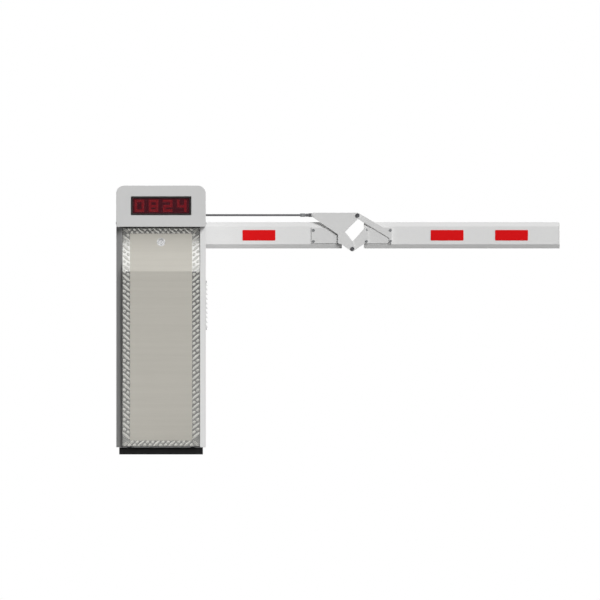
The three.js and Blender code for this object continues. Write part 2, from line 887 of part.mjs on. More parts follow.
// Front: lug towards -Y. Rear: lug towards +Y.
function outerLeaf(y0, side) {
  const y1 = y0 + leaf.thickness;
  const lug = side < 0 ? [y0 - leaf.thickness, y0] : [y1, y1 + leaf.thickness];
  const lap = side < 0 ? [lug[0], lug[1] - GAP] : [lug[0] + GAP, lug[1]];
  const start = boom.outerStart;
  const root = side < 0 ? [lap[1] - 1, y0 + 1] : [y1 - 1, lap[0] + 1];
  return cut(
    join(
      box(start, start + leaf.outerLength, y0, y1, leaf.bottom, leaf.top),
      plateXZ(outerLugShape(14), ...lap),
      box(start + 1, start + 13, ...root, leaf.bottom + 1, leaf.top - 26),
    ),
    foldPinHole(Math.min(...lug, y0) - 1, Math.max(...lug, y1) + 1),
  );
}

// Pull-rod pin at the far corner, brace bolt above the gap, and the fold pin at the foot.
function drivePlateShape() {
  const shape = new THREE.Shape();
  const edge = bracePin.z + bracePin.radius;
  const cornerRadius = 9;
  shape.absarc(fold.x, fold.z, fold.lugRadius, 1.3 * Math.PI, 2.1 * Math.PI, false);
  shape.lineTo(fold.x + gapCorner.bottom.x, fold.z + gapCorner.bottom.z);
  shape.lineTo(fold.x + gapCorner.left.x, fold.z + gapCorner.left.z);
  shape.absarc(bracePin.x, bracePin.z, bracePin.radius, -0.24 * Math.PI, 0.5 * Math.PI, false);
  shape.absarc(rodEnd.x, edge - cornerRadius, cornerRadius, 0.5 * Math.PI, 1.27 * Math.PI, false);
  shape.lineTo(boom.innerEnd - 12, leaf.bottom + 34);
  shape.lineTo(boom.innerEnd - 12, leaf.bottom + 1);
  shape.lineTo(boom.innerEnd, leaf.bottom - 3);
  return shape;
}

function drivePlateSolid() {
  const y0 = drivePlate.front;
  const y1 = drivePlate.back;
  return cut(
    plateXZ(drivePlateShape(), y0, y1),
    foldPinHole(y0 - 1, y1 + 1),
    cylinderY(rodEnd.x, rodEnd.z, bore(pullRod.pin), y0 - 1, y1 + 1),
    cylinderY(bracePin.x, bracePin.z, bore(bracePin.bolt, 0.1), y0 - 1, y1 + 1),
  );
}

const brace = {
  front: drivePlate.back + GAP,
  footWidth: 10,
  back: leaf.front - GAP,
};

function bracePlate() {
  const end = boom.outerStart + leaf.outerLength + 1;
  const shape = new THREE.Shape();
  shape.absarc(bracePin.x, bracePin.z, bracePin.radius, 0.34 * Math.PI, 1.3 * Math.PI, false);
  shape.lineTo(end - brace.footWidth, leaf.bottom + 20);
  shape.lineTo(end - brace.footWidth, leaf.bottom);
  shape.lineTo(end, leaf.bottom);
  shape.lineTo(end, leaf.top);
  shape.lineTo(end - 32, leaf.top);
  return cut(
    plateXZ(shape, brace.front, brace.back),
    cylinderY(bracePin.x, bracePin.z, bore(bracePin.bolt, 0.1), brace.front - 1, brace.back + 1),
  );
}

// A pin whose shank runs from y0 to y1, with a head in front and a retaining collar behind.
function headedPin(x, z, radius, headRadius, y0, y1, headLength) {
  return join(
    cylinderY(x, z, radius, y0 - 1, y1 + 1),
    cylinderY(x, z, headRadius, y0 - headLength, y0),
    cylinderY(x, z, headRadius, y1, y1 + headLength),
  );
}

function foldPin() {
  const back = leaf.back + 2 * leaf.thickness + GAP;
  const { x, z, pinRadius, headRadius, head: headLength } = fold;
  return headedPin(x, z, pinRadius, headRadius, drivePlate.front - GAP, back, headLength);
}

function braceBolt() {
  const { x, z, bolt } = bracePin;
  return headedPin(x, z, bolt, bolt + 3, drivePlate.front - GAP, brace.back + GAP, 3.7);
}

// The rod, with an eye at the cabinet end, and a lock nut, a round shank and a flat eye at the boom end.
function pullRodSolid() {
  const { radius, y, eye, eyeHalf, eyePin, endHalf, endRadius } = pullRod;
  const neck = rodEnd.x - pullRod.neck;
  const shank = neck - pullRod.shankLength;
  return cut(
    join(
      cylinderX(y, rodAnchor.z, radius, rodAnchor.x, shank + 1, 12),
      cylinderY(rodAnchor.x, rodAnchor.z, eye, y - eyeHalf, y + eyeHalf),
      cylinderX(y, rodEnd.z, pullRod.nutRadius, shank - pullRod.nutLength, shank - 1, 6),
      cylinderX(y, rodEnd.z, pullRod.shankRadius, shank, neck, 24),
      plateXZ(linkShape({ x: neck, z: rodEnd.z }, rodEnd, endRadius), y - endHalf, y + endHalf),
    ),
    cylinderY(rodEnd.x, rodEnd.z, bore(pullRod.pin), y - endHalf - 1, y + endHalf + 1),
    cylinderY(rodAnchor.x, rodAnchor.z, bore(eyePin), y - eyeHalf - 1, y + eyeHalf + 1),
  );
}

function rodPin() {
  const { y, pin, endHalf } = pullRod;
  return headedPin(rodEnd.x, rodEnd.z, pin, pin + 1.6, drivePlate.front - GAP, y + endHalf + GAP, 2);
}

// Bracket on the cabinet's back that carries the fixed end of the pull rod.
function rodAnchorBracket() {
  const y0 = cabinet.back + GAP;
  const { x, z } = rodAnchor;
  const { margin, width, height, plate } = rodPost;
  const eyeFront = pullRod.y - pullRod.eyeHalf - GAP;
  const eyeBack = pullRod.y + pullRod.eyeHalf + GAP;
  const left = x - margin;
  const right = left + width;
  const top = z + margin;
  const bottom = top - height;
  const shape = outline([
    [left, bottom],
    [right, bottom],
    [right, bottom + height / 2],
    [x + margin, top],
    [left, top],
  ]);
  return join(
    plateXZ(shape, y0, y0 + plate),
    cylinderY(x, z, rodPost.radius, y0 + 1, eyeFront),
    cylinderY(x, z, pullRod.eyePin, y0 + 1, eyeBack + 1),
    cylinderY(x, z, rodPost.cap, eyeBack, eyeBack + rodPost.capThickness),
  );
}

function reflectorStrip(x) {
  const y1 = boom.front - GAP;
  return box(
    x - reflector.width / 2,
    x + reflector.width / 2,
    y1 - reflector.thickness,
    y1,
    boom.z - reflector.height / 2,
    boom.z + reflector.height / 2,
  );
}

// ---------------------------------------------------------------- assembly

const gate = new THREE.Group();

function add(name, geometry, material) {
  const mesh = new THREE.Mesh(geometry, material);
  mesh.name = name;
  gate.add(mesh);
}

add("plinth", plinthTray(), blackPaint);
add("floor_plate", floorSheet(), steel);
anchorPoints().forEach(([x, y], i) => add(`anchor_bolt_${i + 1}`, anchorBolt(x, y), steel));
add("cabinet_body", cabinetShell(), paint);
add("side_vent", louvrePanel(), paint);
add("strike_rail", strikeRail(), paint);
add("door_pivot_left", doorPivot(-1), steel);
add("door_pivot_right", doorPivot(1), steel);

add("head_cover", headShell(), paint);
add("display_bezel", displayBezel(), blackPlastic);
add("display_window", displaySheet(windowFront, windowBack), smokedAcrylic);
add("display_module", displaySheet(boardFront, boardFront + displayStack.board), blackPlastic);

add("door_skin", doorShell(), treadSteel);
add("door_inlay", doorInlay(), satinSteel);
add("lock_body", lockBody(), chrome);
add("lock_plug", lockPlug(), chrome);

add("mechanism_plate", mechanismSheet(), steel);
add("cross_beam", crossBeamChannel(), steel);
add("rear_bearing", flangeBearing(rearBearing.front, rearBearing.back, rearBearing.bossFront), castIron);
add("front_bearing", flangeBearing(frontBearing.front, frontBearing.back, frontBearing.bossBack), castIron);
add("shaft_seal_flange", sealFlange(), castAluminium);
add("gearbox", gearboxHousing(), castAluminium);
add("motor", motorBody(), motorBlue);
add("spring_anchor", springAnchor(), steel);
springFronts.forEach((front, i) => add(`balance_spring_${i + 1}`, springEnvelope(front), steel));
add("stop_down", leverStop(-1), rubber);
add("stop_up", leverStop(1), rubber);
add("control_box", controlBox(), greyPlastic);
add("rod_anchor", rodAnchorBracket(), platePaint);

add("main_shaft", cylinderY(0, shaft.z, shaft.radius, shaftFront, shaft.end), steel);
add("hub_flange", hubFlange(), castAluminium);
add("rocker_lever", rockerLever(), steel);
add("spring_pin", springPin(), steel);
add("output_crank", outputCrank(), steel);
add("connecting_rod", connectingRod(), steel);

add("boom_carrier", boomCarrier(), platePaint);
add("boom_clamp_plate", clampPlate(), platePaint);
add("inner_boom", boomTube(boom.rootEnd, boom.innerEnd), boomPaint);
add("inner_boom_root_cap", boomCap(boom.rootEnd, -1), greyPlastic);
add("inner_boom_fold_cap", boomCap(boom.innerEnd, 1), greyPlastic);
add("inner_leaf_front", innerLeaf(leaf.front), platePaint);
add("inner_leaf_rear", innerLeaf(leaf.back), platePaint);
add("fold_pin", foldPin(), steel);

add("outer_boom", boomTube(boom.outerStart, boom.tip), boomPaint);
add("outer_boom_fold_cap", boomCap(boom.outerStart, -1), greyPlastic);
add("outer_boom_tip_cap", boomCap(boom.tip, 1), greyPlastic);
add("outer_leaf_front", outerLeaf(leaf.front, -1), platePaint);
add("outer_leaf_rear", outerLeaf(leaf.back, 1), platePaint);
add("drive_plate", drivePlateSolid(), platePaint);
add("brace_plate", bracePlate(), platePaint);
add("brace_bolt", braceBolt(), steel);
reflector.centres.forEach((x, i) => add(`reflector_${i + 1}`, reflectorStrip(x), redFilm));

add("pull_rod", pullRodSolid(), steel);
add("rod_pin", rodPin(), steel);

export default gate;
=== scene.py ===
"""Looks of a parking barrier gate: cabinet, display head, tilting door, lifting drive and folding boom."""

from __future__ import annotations

import json
import logging
import math
from collections.abc import Callable, Iterable, Sequence
from dataclasses import dataclass
from enum import Enum

import bpy
from mathutils import Matrix, Vector

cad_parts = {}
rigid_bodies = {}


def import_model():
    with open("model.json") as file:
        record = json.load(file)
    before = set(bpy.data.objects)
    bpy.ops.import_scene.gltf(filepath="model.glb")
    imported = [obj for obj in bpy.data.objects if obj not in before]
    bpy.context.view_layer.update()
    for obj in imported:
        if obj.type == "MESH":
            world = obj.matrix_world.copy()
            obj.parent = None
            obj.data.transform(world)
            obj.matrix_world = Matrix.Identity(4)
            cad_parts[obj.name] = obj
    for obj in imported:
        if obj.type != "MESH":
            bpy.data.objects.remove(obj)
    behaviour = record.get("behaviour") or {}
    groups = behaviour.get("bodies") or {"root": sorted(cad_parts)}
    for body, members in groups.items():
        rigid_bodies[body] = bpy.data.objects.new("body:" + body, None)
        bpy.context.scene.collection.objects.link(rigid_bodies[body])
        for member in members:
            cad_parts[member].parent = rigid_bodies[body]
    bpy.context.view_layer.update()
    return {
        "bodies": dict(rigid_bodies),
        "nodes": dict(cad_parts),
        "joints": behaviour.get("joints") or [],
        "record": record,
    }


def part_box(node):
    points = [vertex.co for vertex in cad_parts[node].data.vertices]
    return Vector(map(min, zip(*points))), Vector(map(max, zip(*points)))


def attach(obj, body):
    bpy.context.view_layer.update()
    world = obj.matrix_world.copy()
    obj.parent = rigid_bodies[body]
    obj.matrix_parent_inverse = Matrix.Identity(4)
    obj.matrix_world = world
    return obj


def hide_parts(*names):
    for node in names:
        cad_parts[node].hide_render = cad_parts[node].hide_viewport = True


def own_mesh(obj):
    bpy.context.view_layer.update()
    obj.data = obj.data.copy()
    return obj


LOG = logging.getLogger("barrier_gate")
MM = 0.001
MERGE = 1e-5
NEARLY = 0.9
WHITE = (1, 1, 1, 1)
FLAT_ANGLE = math.radians(0.5)
EDGE_ANGLE = math.radians(32)
SMOOTH_ANGLE = math.radians(40)
UP = Vector((0, 0, 1))
TOWARDS_DOOR = Vector((0, -1, 0))
TOWARDS_BOOM = Vector((0, 1, 0))
TO_THE_RIGHT = Vector((1, 0, 0))
TO_THE_LEFT = Vector((-1, 0, 0))


class Axis(Enum):
    """The axis that a round piece is turned on, as the rotation of an upright one."""

    Y = (math.pi / 2, 0.0, 0.0)
    Z = (0.0, 0.0, 0.0)


# ---------------------------------------------------------------- finishes


def linear(code: str) -> tuple[float, float, float, float]:
    """Turn an sRGB hex colour into a linear one.

    Args:
        code: The colour as #rrggbb.

    Returns:
        Red, green, blue and alpha, linear.
    """
    values = [int(code[i : i + 2], 16) / 255 for i in (1, 3, 5)]
    red, green, blue = (v / 12.92 if v <= 0.04045 else ((v + 0.055) / 1.055) ** 2.4 for v in values)
    return red, green, blue, 1.0


def add_node(
    tree: bpy.types.NodeTree,
    kind: str,
    settings: dict[str | int, object],
    links: dict[str | int, bpy.types.NodeSocket],
) -> bpy.types.Node:
    """Add one node to a tree.

    Args:
        tree: The tree that it goes in.
        kind: Its Blender type.
        settings: Values for its sockets, by name or number, and for its own properties.
        links: The socket that feeds each input.

    Returns:
        The node.
    """
    node = tree.nodes.new(kind)
    for key, value in settings.items():
        if isinstance(key, str) and hasattr(node, key):
            setattr(node, key, value)
    for key, value in settings.items():
        if isinstance(key, int) or not hasattr(node, key):
            node.inputs[key].default_value = value
    for key, socket in links.items():
        tree.links.new(socket, node.inputs[key])
    return node


@dataclass(frozen=True)
class Finish:
    """A surface: a base, a slow drift of colour over it, and a fine grain that sets its gloss and relief."""

    name: str
    colour: str
    shade: str
    roughness: float
    metallic: float = 0.0
    drift_mm: float = 90.0
    grain_mm: float = 1.5
    relief_mm: float = 0.02
    spread: float = 0.08
    stretch: tuple[float, float, float] = (1.0, 1.0, 1.0)
    coat: float = 0.0
    coat_roughness: float = 0.12
    specular: float = 0.5
    # edge and edge_mm: the colour and the reach of a painted highlight along rounded edges; with no colour
    # there is none.
    edge: str = ""
    edge_mm: float = 0.8
    alpha: float = 1.0
    glow: float = 0.0

    def build(self) -> bpy.types.Material:
        """Make the material.

        Returns:
            The material, with its nodes.
        """
        material = bpy.data.materials.new(self.name)
        material.use_nodes = True
        tree = material.node_tree
        tree.nodes.clear()
        place = add_node(tree, "ShaderNodeTexCoord", {}, {}).outputs["Object"]
        stretch = {"Scale": self.stretch}
        grained = add_node(tree, "ShaderNodeMapping", stretch, {"Vector": place}).outputs[0]
        colour = self.colours(tree, place, grained)
        fine = {"Scale": 1 / (self.grain_mm * MM), "Detail": 3.0}
        grain = add_node(tree, "ShaderNodeTexNoise", fine, {"Vector": grained}).outputs["Fac"]
        shine = {
            "From Min": 0.3,
            "From Max": 0.7,
            "To Min": self.roughness - self.spread,
            "To Max": self.roughness + self.spread,
        }
        gloss = add_node(tree, "ShaderNodeMapRange", shine, {"Value": grain}).outputs[0]
        depth = {"Distance": self.relief_mm * MM, "Strength": 1.0}
        relief = add_node(tree, "ShaderNodeBump", depth, {"Height": grain}).outputs[0]
        settings = {
            "Metallic": self.metallic,
            "Alpha": self.alpha,
            "Coat Weight": self.coat,
            "Coat Roughness": self.coat_roughness,
            "Specular IOR Level": self.specular,
            "Emission Strength": self.glow,
            "Emission Color": linear(self.colour),
        }
        links = {"Base Color": colour, "Roughness": gloss, "Normal": relief}
        surface = add_node(tree, "ShaderNodeBsdfPrincipled", settings, links).outputs[0]
        add_node(tree, "ShaderNodeOutputMaterial", {}, {"Surface": surface})
        return material

    def colours(
        self,
        tree: bpy.types.NodeTree,
        place: bpy.types.NodeSocket,
        grained: bpy.types.NodeSocket,
    ) -> bpy.types.NodeSocket:
        """Make the colour: the drift between the two tones, then a painted highlight, a paler line along the
        rounded edges.

        Args:
            tree: The material's tree.
            place: Not used.
            grained: The same, stretched along the grain.

        Returns:
            The colour's socket.
        """
        slow = {"Scale": 1 / (self.drift_mm * MM), "Detail": 4.0, "Roughness": 0.6}
        drift = add_node(tree, "ShaderNodeTexNoise", slow, {"Vector": grained}).outputs["Fac"]
        tones = {"data_type": "RGBA", 6: linear(self.colour), 7: linear(self.shade)}
        colour = add_node(tree, "ShaderNodeMix", tones, {0: drift}).outputs[2]
        if not self.edge:
            return colour
        rounding = {"samples": 4, "Radius": self.edge_mm * MM}
        rounded = add_node(tree, "ShaderNodeBevel", rounding, {}).outputs[0]
        flat = add_node(tree, "ShaderNodeNewGeometry", {}, {}).outputs["Normal"]
        dot = {"operation": "DOT_PRODUCT"}
        leaning = add_node(tree, "ShaderNodeVectorMath", dot, {0: rounded, 1: flat}).outputs["Value"]
        # Painted highlight: the colour pales where the rounded normal leans from the face's own, that is
        # along the edges.
        edge_highlight_ramp = {"From Min": 0.995, "From Max": 0.9, "To Min": 0.0, "To Max": 0.7}
        highlit_edges = add_node(tree, "ShaderNodeMapRange", edge_highlight_ramp, {"Value": leaning}).outputs[0]
        pale = {"data_type": "RGBA", 7: linear(self.edge)}
        return add_node(tree, "ShaderNodeMix", pale, {0: highlit_edges, 6: colour}).outputs[2]


@dataclass(frozen=True)
class PrismaticFilm(Finish):
    """Retroreflective film: small sealed cells behind a clear face, a darker weld line round each."""

    cell_mm: float = 4.0

    def colours(
        self,
        tree: bpy.types.NodeTree,
        place: bpy.types.NodeSocket,
        grained: bpy.types.NodeSocket,
    ) -> bpy.types.NodeSocket:
        """Colour the cells, and the weld lines between them.

        Args:
            tree: The material's tree.
            place: The coordinates on the object.
            grained: Not used.

        Returns:
            The colour's socket.
        """
        cells = {
            "feature": "DISTANCE_TO_EDGE",
            "Scale": 1 / (self.cell_mm * MM),
            "Randomness": 0.15,
        }
        line = add_node(tree, "ShaderNodeTexVoronoi", cells, {"Vector": place}).outputs["Distance"]
        weld = {"From Min": 0.02, "From Max": 0.12}
        inside = add_node(tree, "ShaderNodeMapRange", weld, {"Value": line}).outputs[0]
        tones = {"data_type": "RGBA", 6: linear(self.shade), 7: linear(self.colour)}
        return add_node(tree, "ShaderNodeMix", tones, {0: inside}).outputs[2]


# Powder coat is sprayed dry and baked: an even satin skin with a faint orange peel about 2 mm across, and a
# painted highlight that makes its edges paler.
CABINET_COAT = Finish(
    "powder_coated_steel_grey", "#d3d3d2", "#cfcfcf", 0.38, grain_mm=2.2, relief_mm=0.015, edge="#e2e2e1"
)
# The same coat on cut plate: a little duller, and paler along the edges, where a highlight is painted.
PLATE_COAT = Finish(
    "powder_coated_plate", "#d5d5d4", "#d0d0d0", 0.42, grain_mm=2.0, relief_mm=0.02, edge="#e8e8e7"
)
# The boom's coat is paler and glossier, and its peel is drawn out along the boom.
BOOM_COAT = Finish(
    "powder_coated_boom", "#e0e0df", "#dcdcdc", 0.34,
    grain_mm=2.4, relief_mm=0.012, stretch=(0.2, 1.0, 1.0),
)
# Matt black powder coat: nearly black in full light, and greyer along its edges, where a highlight is
# painted.
PLINTH_COAT = Finish(
    "powder_coated_steel_black", "#151515", "#1b1b1b", 0.62,
    specular=0.2, grain_mm=1.8, relief_mm=0.03, edge="#2c2c2b",
)
# Stainless sheet brushed across the door: streaks far longer than they are wide, drawn 1.2 mm wide to show.
BRUSHED_SHEET = Finish(
    "brushed_stainless_sheet", "#cac7bf", "#c1beb6", 0.52,
    metallic=1.0, drift_mm=14.0, grain_mm=1.2, relief_mm=0.004, spread=0.04, stretch=(0.015, 1.0, 1.0),
)
# Between the pressed bars the sheet keeps its smooth rolled skin: it mirrors what stands before it, so it
# is dark where the door is upright and bright where the door curves towards the light.
ROLLED_SHEET = Finish(
    "rolled_stainless_ground", "#c9c9c3", "#bababa", 0.2,
    metallic=1.0, drift_mm=6.0, grain_mm=0.9, relief_mm=0.006, spread=0.05,
)
# The bars are pressed from the same sheet as the ground and are rougher; their paler colour is a painted
# highlight that makes them stand out from the ground.
HIGHLIT_BAR = Finish(
    "highlit_stainless_bar", "#d5d4cf", "#c9c8c3", 0.4,
    metallic=1.0, drift_mm=10.0, grain_mm=0.8, relief_mm=0.008,
)
# Zinc plating: bright grey with a cloudy passivate drift, and a painted highlight along its edges.
ZINC_STEEL = Finish(
    "zinc_plated_steel", "#a3a5a6", "#8d8f92", 0.34,
    metallic=1.0, drift_mm=12.0, grain_mm=0.8, relief_mm=0.012, edge="#c4c5c6", edge_mm=0.5,
)
# Cold-drawn steel: dark grey, with fine lines that the die left along the rod.
DRAWN_ROD = Finish(
    "drawn_steel_rod", "#77777a", "#68686b", 0.3,
    metallic=1.0, drift_mm=8.0, grain_mm=0.7, relief_mm=0.008, stretch=(0.05, 1.0, 1.0),
)
# Spring wire hardened in oil: a blue-black skin with a soft shine.
OILED_SPRING = Finish(
    "oil_tempered_spring_wire", "#3d3f44", "#2c2d31", 0.28,
    metallic=0.9, drift_mm=9.0, grain_mm=0.6, relief_mm=0.01,
)
# Chrome plate on a polished casting: nearly a mirror, white where it faces the light.
POLISHED_CHROME = Finish(
    "polished_chrome", "#f0f0f0", "#e6e6e8", 0.16,
    metallic=1.0, drift_mm=20.0, grain_mm=1.0, relief_mm=0.001, spread=0.02,
)
# Iron from a sand mould, painted: the sand's grit shows as a pebbled skin, and a highlight painted along the
# edges makes them pale.
SAND_CAST = Finish(
    "sand_cast_iron_painted", "#5b646b", "#4d555b", 0.55,
    metallic=0.15, drift_mm=18.0, grain_mm=1.3, relief_mm=0.12, edge="#8b9196",
)
# Aluminium cast under pressure and blasted: a pale satin grey with a fine grit, brighter at the edges with a
# painted highlight.
DIE_CAST = Finish(
    "die_cast_aluminium", "#a9adb0", "#989ca0", 0.45,
    metallic=0.85, drift_mm=16.0, grain_mm=1.0, relief_mm=0.05, edge="#c9ccce",
)
# Sprayed enamel: a dark blue-grey gloss with a slight ripple, paler at the edges with a painted highlight.
MACHINE_ENAMEL = Finish(
    "machine_enamel", "#3a4957", "#34424f", 0.32,
    drift_mm=25.0, grain_mm=1.6, relief_mm=0.03, coat=0.3, edge="#6b7680",
)
# ABS takes a fine even grain from its mould, and looks soft and matt. It is grey on the control box, white
# on the boom's end caps and black round the display.
MOULDED_GREY = Finish("moulded_abs_grey", "#d4d5d3", "#cdcecc", 0.5, grain_mm=0.7, relief_mm=0.03)
MOULDED_WHITE = Finish("moulded_abs_white", "#eeeeec", "#e8e8e6", 0.45, grain_mm=0.7, relief_mm=0.03)
MOULDED_BLACK = Finish("moulded_abs_black", "#161313", "#1b1817", 0.42, grain_mm=0.6, relief_mm=0.03)
# Rubber cured in a mould: dull black, with no clear highlight.
VULCANISED_RUBBER = Finish(
    "vulcanised_rubber", "#191919", "#222120", 0.78, drift_mm=8.0, grain_mm=0.6, relief_mm=0.06
)
# Bronze pressed from powder: a warm brown metal, finely pitted.
SINTERED_BRONZE = Finish(
    "sintered_bronze", "#a8814b", "#8e6c3e", 0.42,
    metallic=1.0, drift_mm=5.0, grain_mm=0.5, relief_mm=0.03,
)
# Film with welded cells: a strong even red from afar, with cells 4 mm across from near by.
REFLECTIVE_RED = PrismaticFilm(
    "prismatic_red_film", "#da1014", "#c60b0f", 0.5,
    specular=0.25, grain_mm=1.0, relief_mm=0.004, coat=0.1,
)
# Tinted acrylic sheet, polished: a dark red glass that the lamps show through.
TINTED_ACRYLIC = Finish(
    "tinted_acrylic", "#58202a", "#531e26", 0.14,
    specular=0.25, spread=0.03, grain_mm=3.0, relief_mm=0.002, alpha=0.62,
)
# A lamp's lens is cast epoxy: dark red while it is off, and a bright red that glows when it is lit.
DULL_LED = Finish("unlit_led_lens", "#5e3236", "#532b2f", 0.35, grain_mm=1.0, relief_mm=0.002)
BRIGHT_LED = Finish("lit_led_lens", "#ff3030", "#ff2a2a", 0.3, grain_mm=1.0, relief_mm=0.002, glow=0.9)


# ---------------------------------------------------------------- modelling


def activate(piece: bpy.types.Object) -> None:
    """Select one object alone and make it the active one.

    Args:
        piece: The object.
    """
    if bpy.context.mode != "OBJECT":
        bpy.ops.object.mode_set(mode="OBJECT")
    bpy.ops.object.select_all(action="DESELECT")
    piece.select_set(True)
    bpy.context.view_layer.objects.active = piece


def settle(name: str) -> bpy.types.Object:
    """Name the object just added and move its place into its mesh.

    Args:
        name: The object's new name.

    Returns:
        The object.
    """
    piece = bpy.context.active_object
    piece.name = name
    piece.data.name = name
    bpy.ops.object.transform_apply(location=True, rotation=True, scale=True)
    return piece


def add_block(name: str, low: Sequence[float], high: Sequence[float]) -> bpy.types.Object:
    """Add a block between two corners.

    Args:
        name: The object's name.
        low: Its lowest corner.
        high: Its highest corner.

    Returns:
        The block.
    """
    bpy.ops.object.select_all(action="DESELECT")
    bpy.ops.mesh.primitive_cube_add(size=1, location=(Vector(low) + Vector(high)) / 2)
    bpy.context.active_object.scale = Vector(high) - Vector(low)
    return settle(name)


def add_round(
    name: str,
    axis: Axis,
    centre: Sequence[float],
    radius: float,
    length: float,
    sides: int = 32,
    wall: float = 0.0,
) -> bpy.types.Object:
    """Add a round bar, or a ring where it is given a wall.

    Args:
        name: The object's name.
        axis: The way that it points.
        centre: Its middle.
        radius: Its outer radius.
        length: Its length.
        sides: How many sides it has.
        wall: How far a ring reaches inwards.

    Returns:
        The bar or the ring.
    """
    bpy.ops.object.select_all(action="DESELECT")
    bpy.ops.mesh.primitive_cylinder_add(
        vertices=sides,
        radius=radius,
        depth=length,
        end_fill_type="NOTHING" if wall else "NGON",
        location=centre,
        rotation=axis.value,
    )
    piece = settle(name)
    if wall:
        apply_modifier(piece, "SOLIDIFY", {"thickness": wall, "offset": -1.0})
    return piece


def add_dome(name: str, size: Sequence[float], segments: int, rings: int) -> bpy.types.Object:
    """Add half an ellipsoid that stands on the plane z = 0.

    Args:
        name: The object's name.
        size: Its half sizes.
        segments: Its sides.
        rings: Its rings, counted on the whole ellipsoid.

    Returns:
        The dome.
    """
    bpy.ops.object.select_all(action="DESELECT")
    bpy.ops.mesh.primitive_uv_sphere_add(segments=segments, ring_count=rings, radius=1)
    bpy.context.active_object.scale = size
    piece = settle(name)
    bpy.ops.object.mode_set(mode="EDIT")
    bpy.ops.mesh.select_all(action="SELECT")
    bpy.ops.mesh.bisect(plane_co=(0, 0, 0), plane_no=(0, 0, 1), use_fill=True, clear_inner=True)
    leave_edit()
    return piece


def apply_modifier(piece: bpy.types.Object, kind: str, settings: dict[str, object]) -> None:
    """Add a modifier and apply it.

    Args:
        piece: The object.
        kind: The modifier's type.
        settings: Its properties.
    """
    modifier = piece.modifiers.new(kind.lower(), kind)
    for key, value in settings.items():
        setattr(modifier, key, value)
    activate(piece)
    bpy.ops.object.modifier_apply(modifier=modifier.name)


def round_edges(piece: bpy.types.Object, width: float, segments: int = 2) -> None:
    """Round an object's sharp edges.

    Args:
        piece: The object.
        width: How far the rounding reaches, in metres.
        segments: The faces across each rounding.
    """
    settings = {
        "width": width,
        "segments": segments,
        "limit_method": "ANGLE",
        "angle_limit": EDGE_ANGLE,
        "use_clamp_overlap": True,
        "miter_outer": "MITER_ARC",
    }
    apply_modifier(piece, "BEVEL", settings)


def repeat(piece: bpy.types.Object, count: int, step: Sequence[float]) -> None:
    """Repeat a shape in a row.

    Args:
        piece: The object.
        count: How many there are in the row.
        step: The move from each one to the next.
    """
    settings = {
        "count": count,
        "use_relative_offset": False,
        "use_constant_offset": True,
        "constant_offset_displace": step,
    }
    apply_modifier(piece, "ARRAY", settings)


def smooth(piece: bpy.types.Object) -> None:
    """Shade an object smooth but for its sharp edges, with its flat faces kept flat.

    Args:
        piece: The object.
    """
    activate(piece)
    bpy.ops.object.shade_smooth_by_angle(angle=SMOOTH_ANGLE)
    apply_modifier(piece, "WEIGHTED_NORMAL", {"keep_sharp": True})


def join(name: str, pieces: Sequence[bpy.types.Object]) -> bpy.types.Object:
    """Join objects into one.

    Args:
        name: The joined object's name.
        pieces: The objects.

    Returns:
        The joined object.
    """
    activate(pieces[0])
    for piece in pieces:
        piece.select_set(True)
    if len(pieces) > 1:
        bpy.ops.object.join()
    pieces[0].name = name
    pieces[0].data.name = name
    return pieces[0]


def copies(name: str, template: bpy.types.Object, places: Iterable[Matrix]) -> bpy.types.Object:
    """Copy one modelled shape to many places, and join the copies.

    Args:
        name: The joined object's name.
        template: The shape, which is used up.
        places: Where each copy goes.

    Returns:
        The joined object.
    """
    made = []
    for place in places:
        copy = bpy.data.objects.new(name, template.data.copy())
        copy.data.transform(place)
        bpy.context.scene.collection.objects.link(copy)
        made.append(copy)
    bpy.data.objects.remove(template)
    return join(name, made)


def facing(point: Sequence[float], direction: Vector) -> Matrix:
    """Give the placement of an upright shape that should stand at a point and face a direction.

    Args:
        point: Where its foot goes.
        direction: Which way its top points.

    Returns:
        The placement.
    """
    turn = UP.rotation_difference(direction).to_matrix().to_4x4()
    return Matrix.Translation(Vector(point)) @ turn


def looks(way: Vector) -> Callable[[bpy.types.MeshPolygon], bool]:
    """Give the test that a face passes if it looks nearly one way."""
    return lambda face: face.normal.dot(way) > NEARLY


def pick_faces(piece: bpy.types.Object, wanted: Callable[[bpy.types.MeshPolygon], bool]) -> None:
    """Enter edit mode with some faces selected.

    Args:
        piece: The object.
        wanted: Says whether a face is selected.
    """
    activate(piece)
    bpy.context.tool_settings.mesh_select_mode = (False, False, True)
    bpy.ops.object.mode_set(mode="EDIT")
    bpy.ops.mesh.select_all(action="DESELECT")
    leave_edit()
    for face in piece.data.polygons:
        face.select = wanted(face)
    bpy.ops.object.mode_set(mode="EDIT")


def pick_edges(piece: bpy.types.Object, wanted: Callable[[Vector, Vector], bool]) -> None:
    """Enter edit mode with some edges selected.

    Args:
        piece: The object.
        wanted: Says from its two ends whether an edge is selected.
    """
    activate(piece)
    bpy.context.tool_settings.mesh_select_mode = (False, True, False)
    bpy.ops.object.mode_set(mode="EDIT")
    bpy.ops.mesh.select_all(action="DESELECT")
    leave_edit()
    points = piece.data.vertices
    for edge in piece.data.edges:
        start, end = (points[i].co for i in edge.vertices)
        edge.select = wanted(start, end)
    bpy.ops.object.mode_set(mode="EDIT")


def press(rim: float, move: Sequence[float]) -> None:
    """Inset the selected faces by a rim, and extrude what is inside it by a move."""
    bpy.ops.mesh.inset(thickness=rim)
    bpy.ops.mesh.extrude_region_move(TRANSFORM_OT_translate={"value": move})


def leave_edit() -> None:
    """Go back to object mode."""
    bpy.ops.object.mode_set(mode="OBJECT")


# ---------------------------------------------------------------- fasteners


